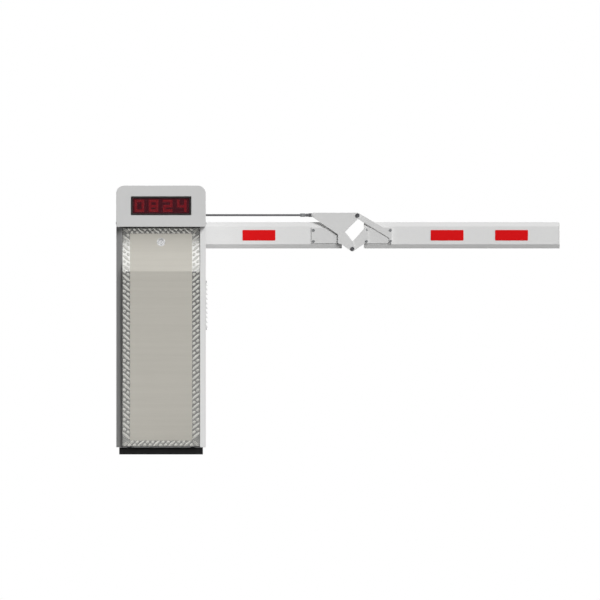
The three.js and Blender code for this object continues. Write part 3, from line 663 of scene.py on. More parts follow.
@dataclass(frozen=True)
class HexBolt:
    """A hexagon head or nut on a washer, with the end of its thread showing. Shares are of its width."""

    across: float
    washer: float
    height: float
    thread: float = 0.0
    chamfer_share: float = 0.07
    crown_share: float = 0.04
    stud_share: float = 0.29
    stud_round_share: float = 0.05
    plate_share: float = 0.2

    def build(self, name: str) -> bpy.types.Object:
        """Model the bolt, standing on z = 0.

        Args:
            name: The object's name.

        Returns:
            The bolt.
        """
        plate = self.height * self.plate_share
        top = plate + self.height
        corner = self.across / math.sqrt(3)
        head = add_round(name, Axis.Z, (0, 0, (plate + top) / 2), corner, self.height, 6)
        pick_faces(head, looks(UP))
        bpy.ops.mesh.bevel(offset=self.across * self.chamfer_share, segments=1)
        bpy.ops.mesh.inset(thickness=self.across * self.crown_share)
        leave_edit()
        washer = add_round("washer", Axis.Z, (0, 0, plate / 2), self.washer, plate, 24)
        round_edges(washer, plate / 4, 1)
        parts = [head, washer]
        if self.thread:
            length = top + self.thread
            girth = self.across * self.stud_share
            stud = add_round("stud", Axis.Z, (0, 0, length / 2), girth, length, 16)
            round_edges(stud, self.across * self.stud_round_share, 1)
            parts.append(stud)
        return join(name, parts)


@dataclass(frozen=True)
class PanScrew:
    """A low round screw head with a socket in its top."""

    radius: float
    height: float
    round_share: float = 0.4
    rim_share: float = 0.25
    socket_share: float = 0.45

    def build(self, name: str) -> bpy.types.Object:
        """Model the screw, standing on z = 0.

        Args:
            name: The object's name.

        Returns:
            The screw.
        """
        head = add_round(name, Axis.Z, (0, 0, self.height / 2), self.radius, self.height, 24)
        pick_faces(head, looks(UP))
        bpy.ops.mesh.bevel(offset=self.height * self.round_share, segments=3)
        press(self.radius * self.rim_share, (0, 0, -self.height * self.socket_share))
        leave_edit()
        return head


M6_SCREW = PanScrew(5.2 * MM, 2.6 * MM)
M5_SCREW = PanScrew(4.3 * MM, 2.0 * MM)
HEAD_SCREW = PanScrew(4.5 * MM, 1.2 * MM)
SEAL_SCREW = PanScrew(4.2 * MM, 1.6 * MM)
M8_BOLT = HexBolt(13 * MM, 8.5 * MM, 5.3 * MM)
M10_BOLT = HexBolt(16 * MM, 10.5 * MM, 6.4 * MM)
M10_NUT = HexBolt(16 * MM, 10.5 * MM, 6.4 * MM, 2.0 * MM)
M12_BOLT = HexBolt(18 * MM, 12.0 * MM, 7.5 * MM)


# ---------------------------------------------------------------- the gate


@dataclass
class Gate:
    """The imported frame, and what dresses its nodes and seats new pieces on its bodies."""

    frame: dict

    def __post_init__(self) -> None:
        """Look up each node's body and material slot, and start with no materials made."""
        record = self.frame["record"]
        self.body_of = {
            node: body for body, nodes in record["behaviour"]["bodies"].items() for node in nodes
        }
        self.slot_of = {s["node"]: s["material_slot"] for s in record["subparts"]}
        self.made: dict[str, bpy.types.Material] = {}

    def seat(
        self,
        piece: bpy.types.Object,
        node: str,
        finish: Finish,
        replaced: Sequence[str] = (),
        slot: str = "",
    ) -> bpy.types.Object:
        """Finish a piece, and let it ride where a node rides.

        Args:
            piece: The piece.
            node: The node whose body it shares.
            finish: Its surface, made once.
            replaced: The nodes that it stands for.
            slot: Not used.

        Returns:
            The piece.
        """
        smooth(piece)
        if finish.name not in self.made:
            self.made[finish.name] = finish.build()
        piece.data.materials.clear()
        piece.data.materials.append(self.made[finish.name])
        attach(piece, self.body_of[node])
        if replaced:
            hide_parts(*replaced)
        LOG.info("%s rides on %s", piece.name, self.body_of[node])
        return piece

    def refine(self, node: str, finish: Finish, width: float, segments: int = 2) -> bpy.types.Object:
        """Stand a copy with rounded edges in for a node.

        Args:
            node: The node.
            finish: The copy's surface.
            width: The rounding of its edges, in metres.
            segments: The faces across each rounding.

        Returns:
            The copy.
        """
        piece = bpy.data.objects.new(f"{node}_shape", self.frame["nodes"][node].data.copy())
        bpy.context.scene.collection.objects.link(piece)
        activate(piece)
        bpy.ops.mesh.customdata_custom_splitnormals_clear()
        bpy.ops.object.mode_set(mode="EDIT")
        bpy.ops.mesh.select_all(action="SELECT")
        bpy.ops.mesh.remove_doubles(threshold=MERGE)
        bpy.ops.mesh.dissolve_limited(angle_limit=FLAT_ANGLE)
        leave_edit()
        round_edges(piece, width, segments)
        return self.seat(piece, node, finish, [node])

    def refine_all(self, widths: dict[str, float], finish: Finish, segments: int = 2) -> None:
        """Stand rounded copies in for some nodes of one finish.

        Args:
            widths: The rounding of each node's edges, in millimetres.
            finish: The copies' surface.
            segments: The faces across each rounding.
        """
        for node, width in widths.items():
            self.refine(node, finish, width * MM, segments)

    def fasten(
        self,
        name: str,
        kind: HexBolt | PanScrew,
        node: str,
        points: Iterable[Sequence[float]],
        direction: Vector,
    ) -> None:
        """Put fasteners of plated steel on a face of a node.

        Args:
            name: The joined fasteners' name.
            kind: The fastener.
            node: The node that they ride with.
            points: Where each stands.
            direction: Which way they face.
        """
        places = [facing(point, direction) for point in points]
        self.seat(copies(name, kind.build(name), places), node, ZINC_STEEL, slot="steel")


def corners(
    low: Vector, high: Vector, inset: float, across: tuple[int, int], level: float
) -> list[Vector]:
    """List the four corners of a face, drawn in.

    Args:
        low: The lowest corner of the piece.
        high: Its highest corner.
        inset: How far the points stand in from the face's edges.
        across: The numbers of the two axes that the face lies along.
        level: The face's place on the third axis.

    Returns:
        The four points.
    """
    first, second = across
    third = 3 - first - second
    points = []
    for a in (low[first] + inset, high[first] - inset):
        for b in (low[second] + inset, high[second] - inset):
            point = Vector((0, 0, 0))
            point[first], point[second], point[third] = a, b, level
            points.append(point)
    return points


def circle(
    centre: Vector, level: float, radius: float, angles: Sequence[float]
) -> list[tuple[float, float, float]]:
    """List points round a circle on a face that looks along Y.

    Args:
        centre: The circle's middle.
        level: The face's place along Y.
        radius: The circle's radius.
        angles: Where the points stand, in degrees up from X.

    Returns:
        The points.
    """
    return [
        (
            centre.x + radius * math.cos(math.radians(angle)),
            level,
            centre.z + radius * math.sin(math.radians(angle)),
        )
        for angle in angles
    ]


@dataclass
class Base:
    """The plinth, the floor plate and the anchor bolts."""

    gate: Gate
    bolts: int = 4

    def build(self) -> None:
        """Make the base."""
        self.gate.refine_all({"plinth": 1.5}, PLINTH_COAT)
        steel = ["floor_plate", *(f"anchor_bolt_{number + 1}" for number in range(self.bolts))]
        self.gate.refine_all(dict.fromkeys(steel, 0.5), ZINC_STEEL)


@dataclass
class Cabinet:
    """The folded sheet body, its louvres, its door seal and what the door fastens to."""

    gate: Gate
    louvres: int = 10
    louvre_pitch: float = 17.6 * MM
    louvre_depth: float = 8.0 * MM
    louvre_height: float = 12.0 * MM
    louvre_round: float = 0.81 * MM
    lean_share: float = 0.93
    mouth_rim: float = 1.3 * MM
    mouth_slope: float = 2 * MM
    mouth_share: float = 0.45
    edge: float = 9.0 * MM
    plate_foot: float = 0.2 * MM
    plate_face: float = 1.6 * MM
    plate_corner: float = 6 * MM
    screw_inset: float = 4.5 * MM
    seal_width: float = 8.0 * MM
    seal_thickness: float = 2 * MM
    seal_lift: float = 2.4 * MM

    def build(self) -> None:
        """Make the cabinet."""
        self.gate.refine_all({"cabinet_body": 1.6, "strike_rail": 0.6}, CABINET_COAT)
        self.gate.refine_all({"door_pivot_left": 0.5, "door_pivot_right": 0.5}, ZINC_STEEL)
        self.louvre_panel()
        self.door_seal()

    def louvre_panel(self) -> None:
        """Press ten hooded louvres into the side: each a wedge that is open underneath."""
        low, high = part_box("side_vent")
        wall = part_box("cabinet_body")[1].x
        root = low.z + self.edge + self.louvre_height
        hood = add_block(
            "hood",
            (wall, low.y + self.edge, root - self.louvre_height),
            (wall + self.louvre_depth, high.y - self.edge, root),
        )
        pick_edges(hood, lambda a, b: min(a.x, b.x) > wall + MM and min(a.z, b.z) > root - MM)
        bpy.ops.transform.translate(value=(-self.louvre_depth * self.lean_share, 0, 0))
        leave_edit()
        pick_faces(hood, looks(-UP))
        press(self.mouth_rim, (-self.mouth_slope, 0, self.louvre_height * self.mouth_share))
        leave_edit()
        round_edges(hood, self.louvre_round, 3)
        repeat(hood, self.louvres, (0, 0, self.louvre_pitch))
        face = wall + self.plate_face
        plate = add_block(
            "vent_plate", (wall + self.plate_foot, low.y, low.z), (face, high.y, high.z)
        )
        pick_edges(plate, lambda a, b: abs(a.x - b.x) > MM / 2)
        bpy.ops.mesh.bevel(offset=self.plate_corner, segments=4)
        leave_edit()
        round_edges(plate, 0.5 * MM)
        panel = join("side_louvres", [plate, hood])
        self.gate.seat(panel, "side_vent", CABINET_COAT, ["side_vent"])
        points = corners(low, high, self.screw_inset, (1, 2), face)
        self.gate.fasten("vent_screws", M5_SCREW, "side_vent", points, TO_THE_RIGHT)

    def door_seal(self) -> None:
        """Lay a soft rubber strip round the rebate that the door closes on."""
        low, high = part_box("door_skin")
        bpy.ops.object.select_all(action="DESELECT")
        bpy.ops.mesh.primitive_plane_add(
            size=1,
            location=(0, high.y + self.seal_lift, (low.z + high.z) / 2),
            rotation=Axis.Y.value,
        )
        bpy.context.active_object.scale = (high.x - low.x - MM, high.z - low.z - MM, 1)
        seal = settle("door_seal")
        pick_faces(seal, lambda face: True)
        bpy.ops.mesh.inset(thickness=self.seal_width)
        bpy.ops.mesh.delete(type="FACE")
        leave_edit()
        apply_modifier(seal, "SOLIDIFY", {"thickness": self.seal_thickness, "offset": 0.0})
        round_edges(seal, 0.6 * MM)
        self.gate.seat(seal, "cabinet_body", VULCANISED_RUBBER, slot="rubber")


class Digit(Enum):
    """A digit as the lit bars of a seven-bar figure: top, middle, foot, then the four uprights."""

    ZERO = (True, False, True, True, True, True, True)
    TWO = (True, True, True, False, True, True, False)
    FOUR = (False, True, False, True, True, False, True)
    EIGHT = (True, True, True, True, True, True, True)


@dataclass
class DisplayHead:
    """The head cover with its message display: bezel, tinted window and lamp matrix."""

    gate: Gate
    columns: int = 64
    rows: int = 16
    pitch: float = 3.35 * MM
    lamp: float = 1.15 * MM
    lamp_crown: float = 0.35
    lamp_faces: tuple[int, int] = (8, 4)
    lit_share: float = 1.25
    lit_crown: float = 0.38
    lit_proud: float = 0.02 * MM
    shown: tuple[Digit, ...] = (Digit.ZERO, Digit.EIGHT, Digit.TWO, Digit.FOUR)
    figure_width: int = 11
    figure_height: int = 14
    stroke: int = 3
    screw_rise: float = 14 * MM
    screw_places: tuple[float, float] = (-70 * MM, 90 * MM)

    def build(self) -> None:
        """Make the head."""
        self.gate.refine_all({"head_cover": 2.2}, CABINET_COAT, 3)
        self.gate.refine_all({"display_bezel": 1.0}, MOULDED_BLACK)
        self.gate.refine_all({"display_window": 0.3}, TINTED_ACRYLIC)
        self.gate.refine_all({"display_module": 0.3}, MOULDED_BLACK)
        self.lamps()
        low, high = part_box("head_cover")
        for side, x, way in (("left", low.x, TO_THE_LEFT), ("right", high.x, TO_THE_RIGHT)):
            points = [(x, y, low.z + self.screw_rise) for y in self.screw_places]
            self.gate.fasten(f"head_screws_{side}", HEAD_SCREW, "head_cover", points, way)

    def lit(self) -> list[tuple[int, int]]:
        """List the lamps that show the figures.

        Returns:
            The column and the row of each lit lamp, counted from the lower left.
        """
        lamps: set[tuple[int, int]] = set()
        cell = self.columns // len(self.shown)
        wide, tall, stroke = self.figure_width, self.figure_height, self.stroke
        middle = (tall - stroke) // 2
        bars = (
            (0, tall - stroke, wide, stroke),
            (0, middle, wide, stroke),
            (0, 0, wide, stroke),
            (0, middle, stroke, tall - middle),
            (wide - stroke, middle, stroke, tall - middle),
            (0, 0, stroke, middle + stroke),
            (wide - stroke, 0, stroke, middle + stroke),
        )
        foot = (self.rows - tall) // 2
        for number, digit in enumerate(self.shown):
            left = number * cell + (cell - wide) // 2
            for on, (column, row, width, height) in zip(digit.value, bars, strict=True):
                if on:
                    lamps.update(
                        (left + column + i, foot + row + j)
                        for i in range(width)
                        for j in range(height)
                    )
        return sorted(lamps)

    def lamps(self) -> None:
        """Fill the board with lamps, and light the ones that make the figures."""
        low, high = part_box("display_module")
        left = (low.x + high.x) / 2 - self.pitch * (self.columns - 1) / 2
        foot = (low.z + high.z) / 2 - self.pitch * (self.rows - 1) / 2
        crown = self.lamp * self.lamp_crown
        dull = add_dome("lamp", (self.lamp, self.lamp, crown), *self.lamp_faces)
        dull = copies("lamp_field", dull, [facing((left, low.y, foot), TOWARDS_DOOR)])
        repeat(dull, self.columns, (self.pitch, 0, 0))
        repeat(dull, self.rows, (0, 0, self.pitch))
        self.gate.seat(dull, "display_module", DULL_LED)
        size = self.lamp * self.lit_share
        bright = add_dome("lit_lamp", (size, size, size * self.lit_crown), *self.lamp_faces)
        front = low.y - self.lit_proud
        places = [
            facing((left + i * self.pitch, front, foot + j * self.pitch), TOWARDS_DOOR)
            for i, j in self.lit()
        ]
        self.gate.seat(copies("lit_lamps", bright, places), "display_module", BRIGHT_LED)


@dataclass
class Door:
    """The tilting door: its pressed border, its brushed inlay and its lock."""

    gate: Gate
    bend: float = 168.5 * MM
    set_back: float = 30 * MM
    side_border: float = 28.7 * MM
    end_border: float = 21.8 * MM
    bar_width: float = 9.0 * MM
    bar_height: float = 1.7 * MM
    bar_faces: tuple[int, int] = (14, 6)
    bar_reach: float = 0.96
    stub_reach: float = 0.36
    stub_width: float = 9.9 * MM
    side_pitch: float = 37.5 * MM
    end_pitch: float = 58.6 * MM
    end_start: float = 0.71
    slant: float = math.radians(42)
    end_slant: float = math.radians(41)
    stagger: float = 5.2 * MM
    corner_pitch: float = 6.6 * MM
    corner_width: float = 3.9 * MM
    corner_length: float = 24.0 * MM
    lock_lean: float = math.radians(8)
    lock_face: float = 0.95
    collar_reach: float = 3.0 * MM
    collar_wall: float = 2.9 * MM
    collar_height: float = 2.8 * MM

    def __post_init__(self) -> None:
        """Work out the hollow curve of the upper part."""
        self.low, self.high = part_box("door_skin")
        self.crease = self.high.z - self.bend
        self.hollow = (self.bend**2 + self.set_back**2) / (2 * self.set_back)
        self.hollow_y = self.low.y + self.set_back - self.hollow

    def face(self, height: float) -> tuple[float, Vector]:
        """Find the door's face at a height.

        Args:
            height: The height above the ground.

        Returns:
            The face's place along Y, and its upward tangent.
        """
        if height <= self.crease:
            return self.low.y, UP.copy()
        angle = math.asin((self.high.z - height) / self.hollow)
        depth = self.hollow_y + self.hollow * math.cos(angle)
        return depth, Vector((0, math.sin(angle), math.cos(angle)))

    def on_face(self, x: float, z: float, turn: float) -> Matrix:
        """Place a shape on the door's face.

        Args:
            x: The place across the door.
            z: The place up the door.
            turn: How far its length is turned up from the horizontal.

        Returns:
            The placement of a shape that stands on z = 0 with its length along X.
        """
        y, tangent = self.face(z)
        length = TO_THE_RIGHT * math.cos(turn) + tangent * math.sin(turn)
        width = tangent * math.cos(turn) - TO_THE_RIGHT * math.sin(turn)
        axes = Matrix((length, width, length.cross(width))).transposed().to_4x4()
        return Matrix.Translation((x, y, z)) @ axes

    def build(self) -> None:
        """Make the door."""
        self.gate.refine_all({"door_skin": 1.2}, ROLLED_SHEET)
        self.gate.refine_all({"door_inlay": 0.35}, BRUSHED_SHEET)
        self.border()
        self.lock()

    def pressing(
        self, name: str, length: float, width: float, places: Iterable[Matrix]
    ) -> bpy.types.Object:
        """Press low crowned bars with full ends: model one along X, and copy it.

        Args:
            name: The joined object's name.
            length: A bar's length.
            width: A bar's width.
            places: Where the bars go.

        Returns:
            The bars.
        """
        half = (length / 2, width / 2, self.bar_height)
        return copies(name, add_dome("bar", half, *self.bar_faces), places)

    def border(self) -> None:
        """Press the tread border: a slanted bar right across it, then two short ones side by side."""
        bars: list[Matrix] = []
        stubs: list[Matrix] = []
        end_bars: list[Matrix] = []
        corner_bars: list[Matrix] = []
        column = self.high.x - self.side_border / 2
        middle = (self.low.z + self.high.z) / 2
        run = self.high.z - self.low.z - 2 * self.end_border
        count = round(run / self.side_pitch)
        pitch = run / count
        offset = self.side_border / 4
        for way in (-1, 1):
            x = way * column
            turn = way * self.slant
            for i in range(count):
                z = self.low.z + self.end_border + (i + 0.5) * pitch
                bars.append(self.on_face(x, z, turn))
                for step in (-1, 1):
                    stub = z + pitch / 2 + step * way * self.stagger
                    if abs(stub - middle) < run / 2:
                        stubs.append(self.on_face(x + step * offset, stub, turn))
        reach = self.high.x - self.side_border
        count = round(2 * reach / self.end_pitch)
        pitch = 2 * reach / count
        first = pitch * self.end_start - reach
        row = self.end_border / 4
        lean = math.atan2(self.end_border, self.side_border)
        for z, way in (
            (self.low.z + self.end_border / 2, 1),
            (self.high.z - self.end_border / 2, -1),
        ):
            turn = way * self.end_slant
            for i in range(count + 1):
                x = first + i * pitch
                if i < count:
                    end_bars.append(self.on_face(x, z, turn))
                for part in (1 / 3, 2 / 3):
                    for step in (-1, 1):
                        stub = x - part * pitch + way * step * self.stagger
                        if stub < reach + self.stagger:
                            stubs.append(self.on_face(stub, z + step * row, turn))
            for side in (-1, 1):
                for step in (-0.5, 0.5):
                    height = z + step * self.corner_pitch
                    corner_bars.append(self.on_face(side * column, height, -way * side * lean))
        across = self.side_border * self.bar_reach / math.cos(self.slant)
        along = self.end_border * self.bar_reach / math.sin(self.end_slant)
        pressed = [
            self.pressing("bars", across, self.bar_width, bars),
            self.pressing("end_bars", along, self.bar_width, end_bars),
            self.pressing("stubs", across * self.stub_reach, self.stub_width, stubs),
            self.pressing("corner_bars", self.corner_length, self.corner_width, corner_bars),
        ]
        # The bars' paler colour is a painted highlight on the same steel as the ground.
        self.gate.seat(join("pressed_border", pressed), "door_skin", HIGHLIT_BAR)

    def lock(self) -> None:
        """Dress the lock barrel and its plug, lean their faces, and set a collar round the barrel."""
        self.gate.refine_all({"lock_body": 2.4}, POLISHED_CHROME, 5)
        self.gate.refine_all({"lock_plug": 0.5}, POLISHED_CHROME)
        low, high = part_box("lock_body")
        centre = (low + high) / 2
        for node in ("lock_body", "lock_plug"):
            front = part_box(node)[0].y
            piece = bpy.data.objects[f"{node}_shape"]

            def in_front(face: bpy.types.MeshPolygon, limit: float = front + MM / 2) -> bool:
                """Say whether a face is on the front."""
                return face.normal.y < -self.lock_face and face.center.y < limit

            pick_faces(piece, in_front)
            bpy.ops.transform.rotate(
                value=-self.lock_lean, orient_axis="X", center_override=(centre.x, front, centre.z)
            )
            leave_edit()
            smooth(piece)
        radius = (high.x - low.x) / 2 + self.collar_reach
        middle = (0, 0, 0.5 * MM)
        collar = add_round(
            "lock_collar", Axis.Z, middle, radius, self.collar_height, 48, self.collar_wall
        )
        round_edges(collar, 1.1 * MM, 4)
        collar.data.transform(self.on_face(centre.x, centre.z, 0.0))
        self.gate.seat(collar, "lock_body", POLISHED_CHROME)


@dataclass
class Motor:
    """The motor: a finned body, an end bell, a fan cowl with a ring slot, and a terminal box."""

    gate: Gate
    sides: int = 48
    core_share: float = 0.86
    bell_drop: float = 8 * MM
    bell_length: float = 14 * MM
    cowl_rise: float = 20 * MM
    cowl_length: float = 38 * MM
    cowl_rim: float = 5 * MM
    cowl_ring: float = 6 * MM
    cowl_depth: float = 3 * MM
    fins: int = 24
    fin_half: float = 0.9 * MM
    fin_root_share: float = 0.8
    fin_foot: float = 44 * MM
    fin_drop: float = 16 * MM
    box_half_share: float = 0.8
    box_back_share: float = 0.55
    box_foot: float = 74 * MM
    box_top: float = 126 * MM
    lid_rim: float = 2.5 * MM
    lid_height: float = 2 * MM

    def build(self) -> None:
        """Make the motor in one piece."""
        low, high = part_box("motor")
        radius = (high.x - low.x) / 2
        x, y = (low.x + high.x) / 2, high.y - radius
        rounds = []
        for name, middle, girth, length, width, segments in (
            ("core", (low.z + high.z) / 2, radius * self.core_share, high.z - low.z, 1.0, 2),
            ("bell", high.z - self.bell_drop, radius, self.bell_length, 2.5, 3),
            ("cowl", low.z + self.cowl_rise, radius, self.cowl_length, 1.4, 2),
        ):
            turned = add_round(name, Axis.Z, (x, y, middle), girth, length, self.sides)
            if name == "cowl":
                pick_faces(turned, looks(-UP))
                press(self.cowl_rim, (0, 0, self.cowl_depth))
                press(self.cowl_ring, (0, 0, -self.cowl_depth))
                leave_edit()
            round_edges(turned, width * MM, segments)
            rounds.append(turned)
        fin = add_block(
            "fin",
            (radius * self.fin_root_share, -self.fin_half, low.z + self.fin_foot),
            (radius, self.fin_half, high.z - self.fin_drop),
        )
        round_edges(fin, 0.5 * MM)
        places = [
            Matrix.Translation((x, y, 0)) @ Matrix.Rotation(2 * math.pi * i / self.fins, 4, "Z")
            for i in range(self.fins)
        ]
        half = radius * self.box_half_share
        back = y - radius * self.box_back_share
        terminals = add_block(
            "terminals",
            (x - half, low.y, low.z + self.box_foot),
            (x + half, back, low.z + self.box_top),
        )
        pick_faces(terminals, looks(TOWARDS_DOOR))
        press(self.lid_rim, (0, -self.lid_height, 0))
        leave_edit()
        round_edges(terminals, 1.2 * MM)
        parts = [*rounds, copies("fins", fin, places), terminals]
        self.gate.seat(join("motor_assembly", parts), "motor", MACHINE_ENAMEL, ["motor"])


@dataclass
class Drive:
    """The gearbox, levers, shaft bearings, balance springs and control box, with the motor."""

    gate: Gate
    wire: float = 1.9 * MM
    turns: int = 34
    steps: int = 18
    hook_turns: int = 2
    hook_steps: int = 32
    hook_gap: float = 0.4 * MM
    hook_share: float = 2.1
    bush_radius: float = 8.7 * MM
    bush_wall: float = 2.2 * MM
    bush_length: float = 2.4 * MM
    lift_of_lever: float = 87.7 * MM
    flange: float = 10 * MM
    flange_inset: float = 13 * MM
    gearbox_inset: float = 22 * MM
    gearbox_edge: float = 9 * MM
    cover_sink: float = 5 * MM
    cover_circle: float = 42 * MM
    cover_angles: tuple[float, ...] = (45, 135, 225, 315, 90, 270)
    lid_inset: float = 14 * MM

    def build(self) -> None:
        """Make what the cabinet holds."""
        steel = {
            "mechanism_plate": 0.8,
            "cross_beam": 1.0,
            "spring_anchor": 0.8,
            "main_shaft": 1.2,
            "rocker_lever": 0.8,
            "spring_pin": 0.6,
            "output_crank": 0.8,
            "connecting_rod": 0.8,
        }
        self.gate.refine_all(steel, ZINC_STEEL)
        self.gate.refine_all({"rear_bearing": 2.0, "front_bearing": 2.0}, SAND_CAST)
        self.gate.refine_all({"shaft_seal_flange": 1.5, "gearbox": 2.5}, DIE_CAST)
        self.gate.refine_all({"control_box": 2.5}, MOULDED_GREY, 3)
        self.gate.refine_all({"stop_down": 1.0, "stop_up": 1.0}, VULCANISED_RUBBER)
        Motor(self.gate).build()
        self.bushes()
        for number in (1, 2):
            self.spring(number)
        self.drive_fasteners()

    def bushes(self) -> None:
        """Show the bronze bushes in the connecting rod's ends."""
        low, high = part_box("connecting_rod")
        half = (high.x - low.x) / 2
        x = (low.x + high.x) / 2
        rings = []
        for z in (low.z + half, high.z - half):
            centre = (x, low.y, z)
            bush = add_round(
                "bush", Axis.Y, centre, self.bush_radius, self.bush_length, 32, self.bush_wall
            )
            round_edges(bush, 0.5 * MM)
            rings.append(bush)
        self.gate.seat(join("rod_bushes", rings), "connecting_rod", SINTERED_BRONZE)

    def spring(self, number: int) -> None:
        """Wind one balance spring: a close coil, and the eye on its pin.

        Args:
            number: Which of the two springs.
        """
        node = f"balance_spring_{number}"
        low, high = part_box(node)
        radius = (high.x - low.x) / 2 - self.wire
        rise = (high.z - low.z - 2 * self.wire) / self.turns
        coil = self.wind(f"spring_coil_{number}", radius, rise, self.turns, self.steps)
        middle = ((low.x + high.x) / 2, (low.y + high.y) / 2)
        coil.data.transform(Matrix.Translation((*middle, low.z + self.wire)))
        self.gate.seat(coil, node, OILED_SPRING, [node])
        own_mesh(coil)
        pin_low, pin_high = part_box("spring_pin")
        pin = (pin_low + pin_high) / 2
        hold = (pin_high.x - pin_low.x) / 2 + self.wire + self.hook_gap
        rise = self.hook_share * self.wire
        eye = self.wind(f"spring_eye_{number}", hold, rise, self.hook_turns, self.hook_steps)
        eye.data.transform(
            Matrix.Translation((pin.x, middle[1], pin.z))
            @ Matrix.Rotation(math.pi / 2, 4, "X")
            @ Matrix.Translation((0, 0, -rise * self.hook_turns / 2))
        )
        self.gate.seat(eye, "spring_pin", OILED_SPRING)

    def wind(
        self, name: str, radius: float, pitch: float, turns: int, steps: int
    ) -> bpy.types.Object:
        """Wind the spring's wire round the Z axis, upwards from the origin.

        Args:
            name: The object's name.
            radius: The radius of the wire's middle.
            pitch: The rise of each turn.
            turns: How many turns.
            steps: The lengths of wire in a turn.

        Returns:
            The winding, with both ends closed.
        """
        bpy.ops.object.select_all(action="DESELECT")
        bpy.ops.mesh.primitive_circle_add(
            vertices=8, radius=self.wire, location=(radius, 0, 0), rotation=Axis.Y.value
        )
        wound = settle(name)
        settings = {
            "angle": 2 * math.pi,
            "screw_offset": pitch,
            "iterations": turns,
            "steps": steps,
            "render_steps": steps,
            "axis": "Z",
        }
        apply_modifier(wound, "SCREW", settings)
        pick_faces(wound, lambda face: True)
        bpy.ops.mesh.fill_holes(sides=8)
        bpy.ops.mesh.normals_make_consistent(inside=False)
        leave_edit()
        return wound

    def drive_fasteners(self) -> None:
        """Bolt the drive's pieces down."""
        fasten = self.gate.fasten
        low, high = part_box("rear_bearing")
        points = corners(low, high, self.flange_inset, (0, 2), high.y - self.flange)
        fasten("rear_bearing_bolts", M10_BOLT, "rear_bearing", points, TOWARDS_DOOR)
        low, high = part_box("front_bearing")
        points = corners(low, high, self.flange_inset, (0, 2), low.y + self.flange)
        fasten("front_bearing_bolts", M10_BOLT, "front_bearing", points, TOWARDS_BOOM)
        low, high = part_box("gearbox")
        edge = high.x - self.gearbox_edge
        points = corners(low, high, self.gearbox_inset, (2, 0), high.y - self.flange)
        points = [(math.copysign(edge, p.x), p.y, p.z) for p in points]
        fasten("gearbox_bolts", M8_BOLT, "gearbox", points, TOWARDS_DOOR)
        level = low.y + self.cover_sink
        points = circle((low + high) / 2, level, self.cover_circle, self.cover_angles)
        fasten("gearbox_cover_screws", M6_SCREW, "gearbox", points, TOWARDS_DOOR)
        low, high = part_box("control_box")
        points = corners(low, high, self.lid_inset, (1, 2), high.x)
        fasten("control_lid_screws", M5_SCREW, "control_box", points, TO_THE_RIGHT)


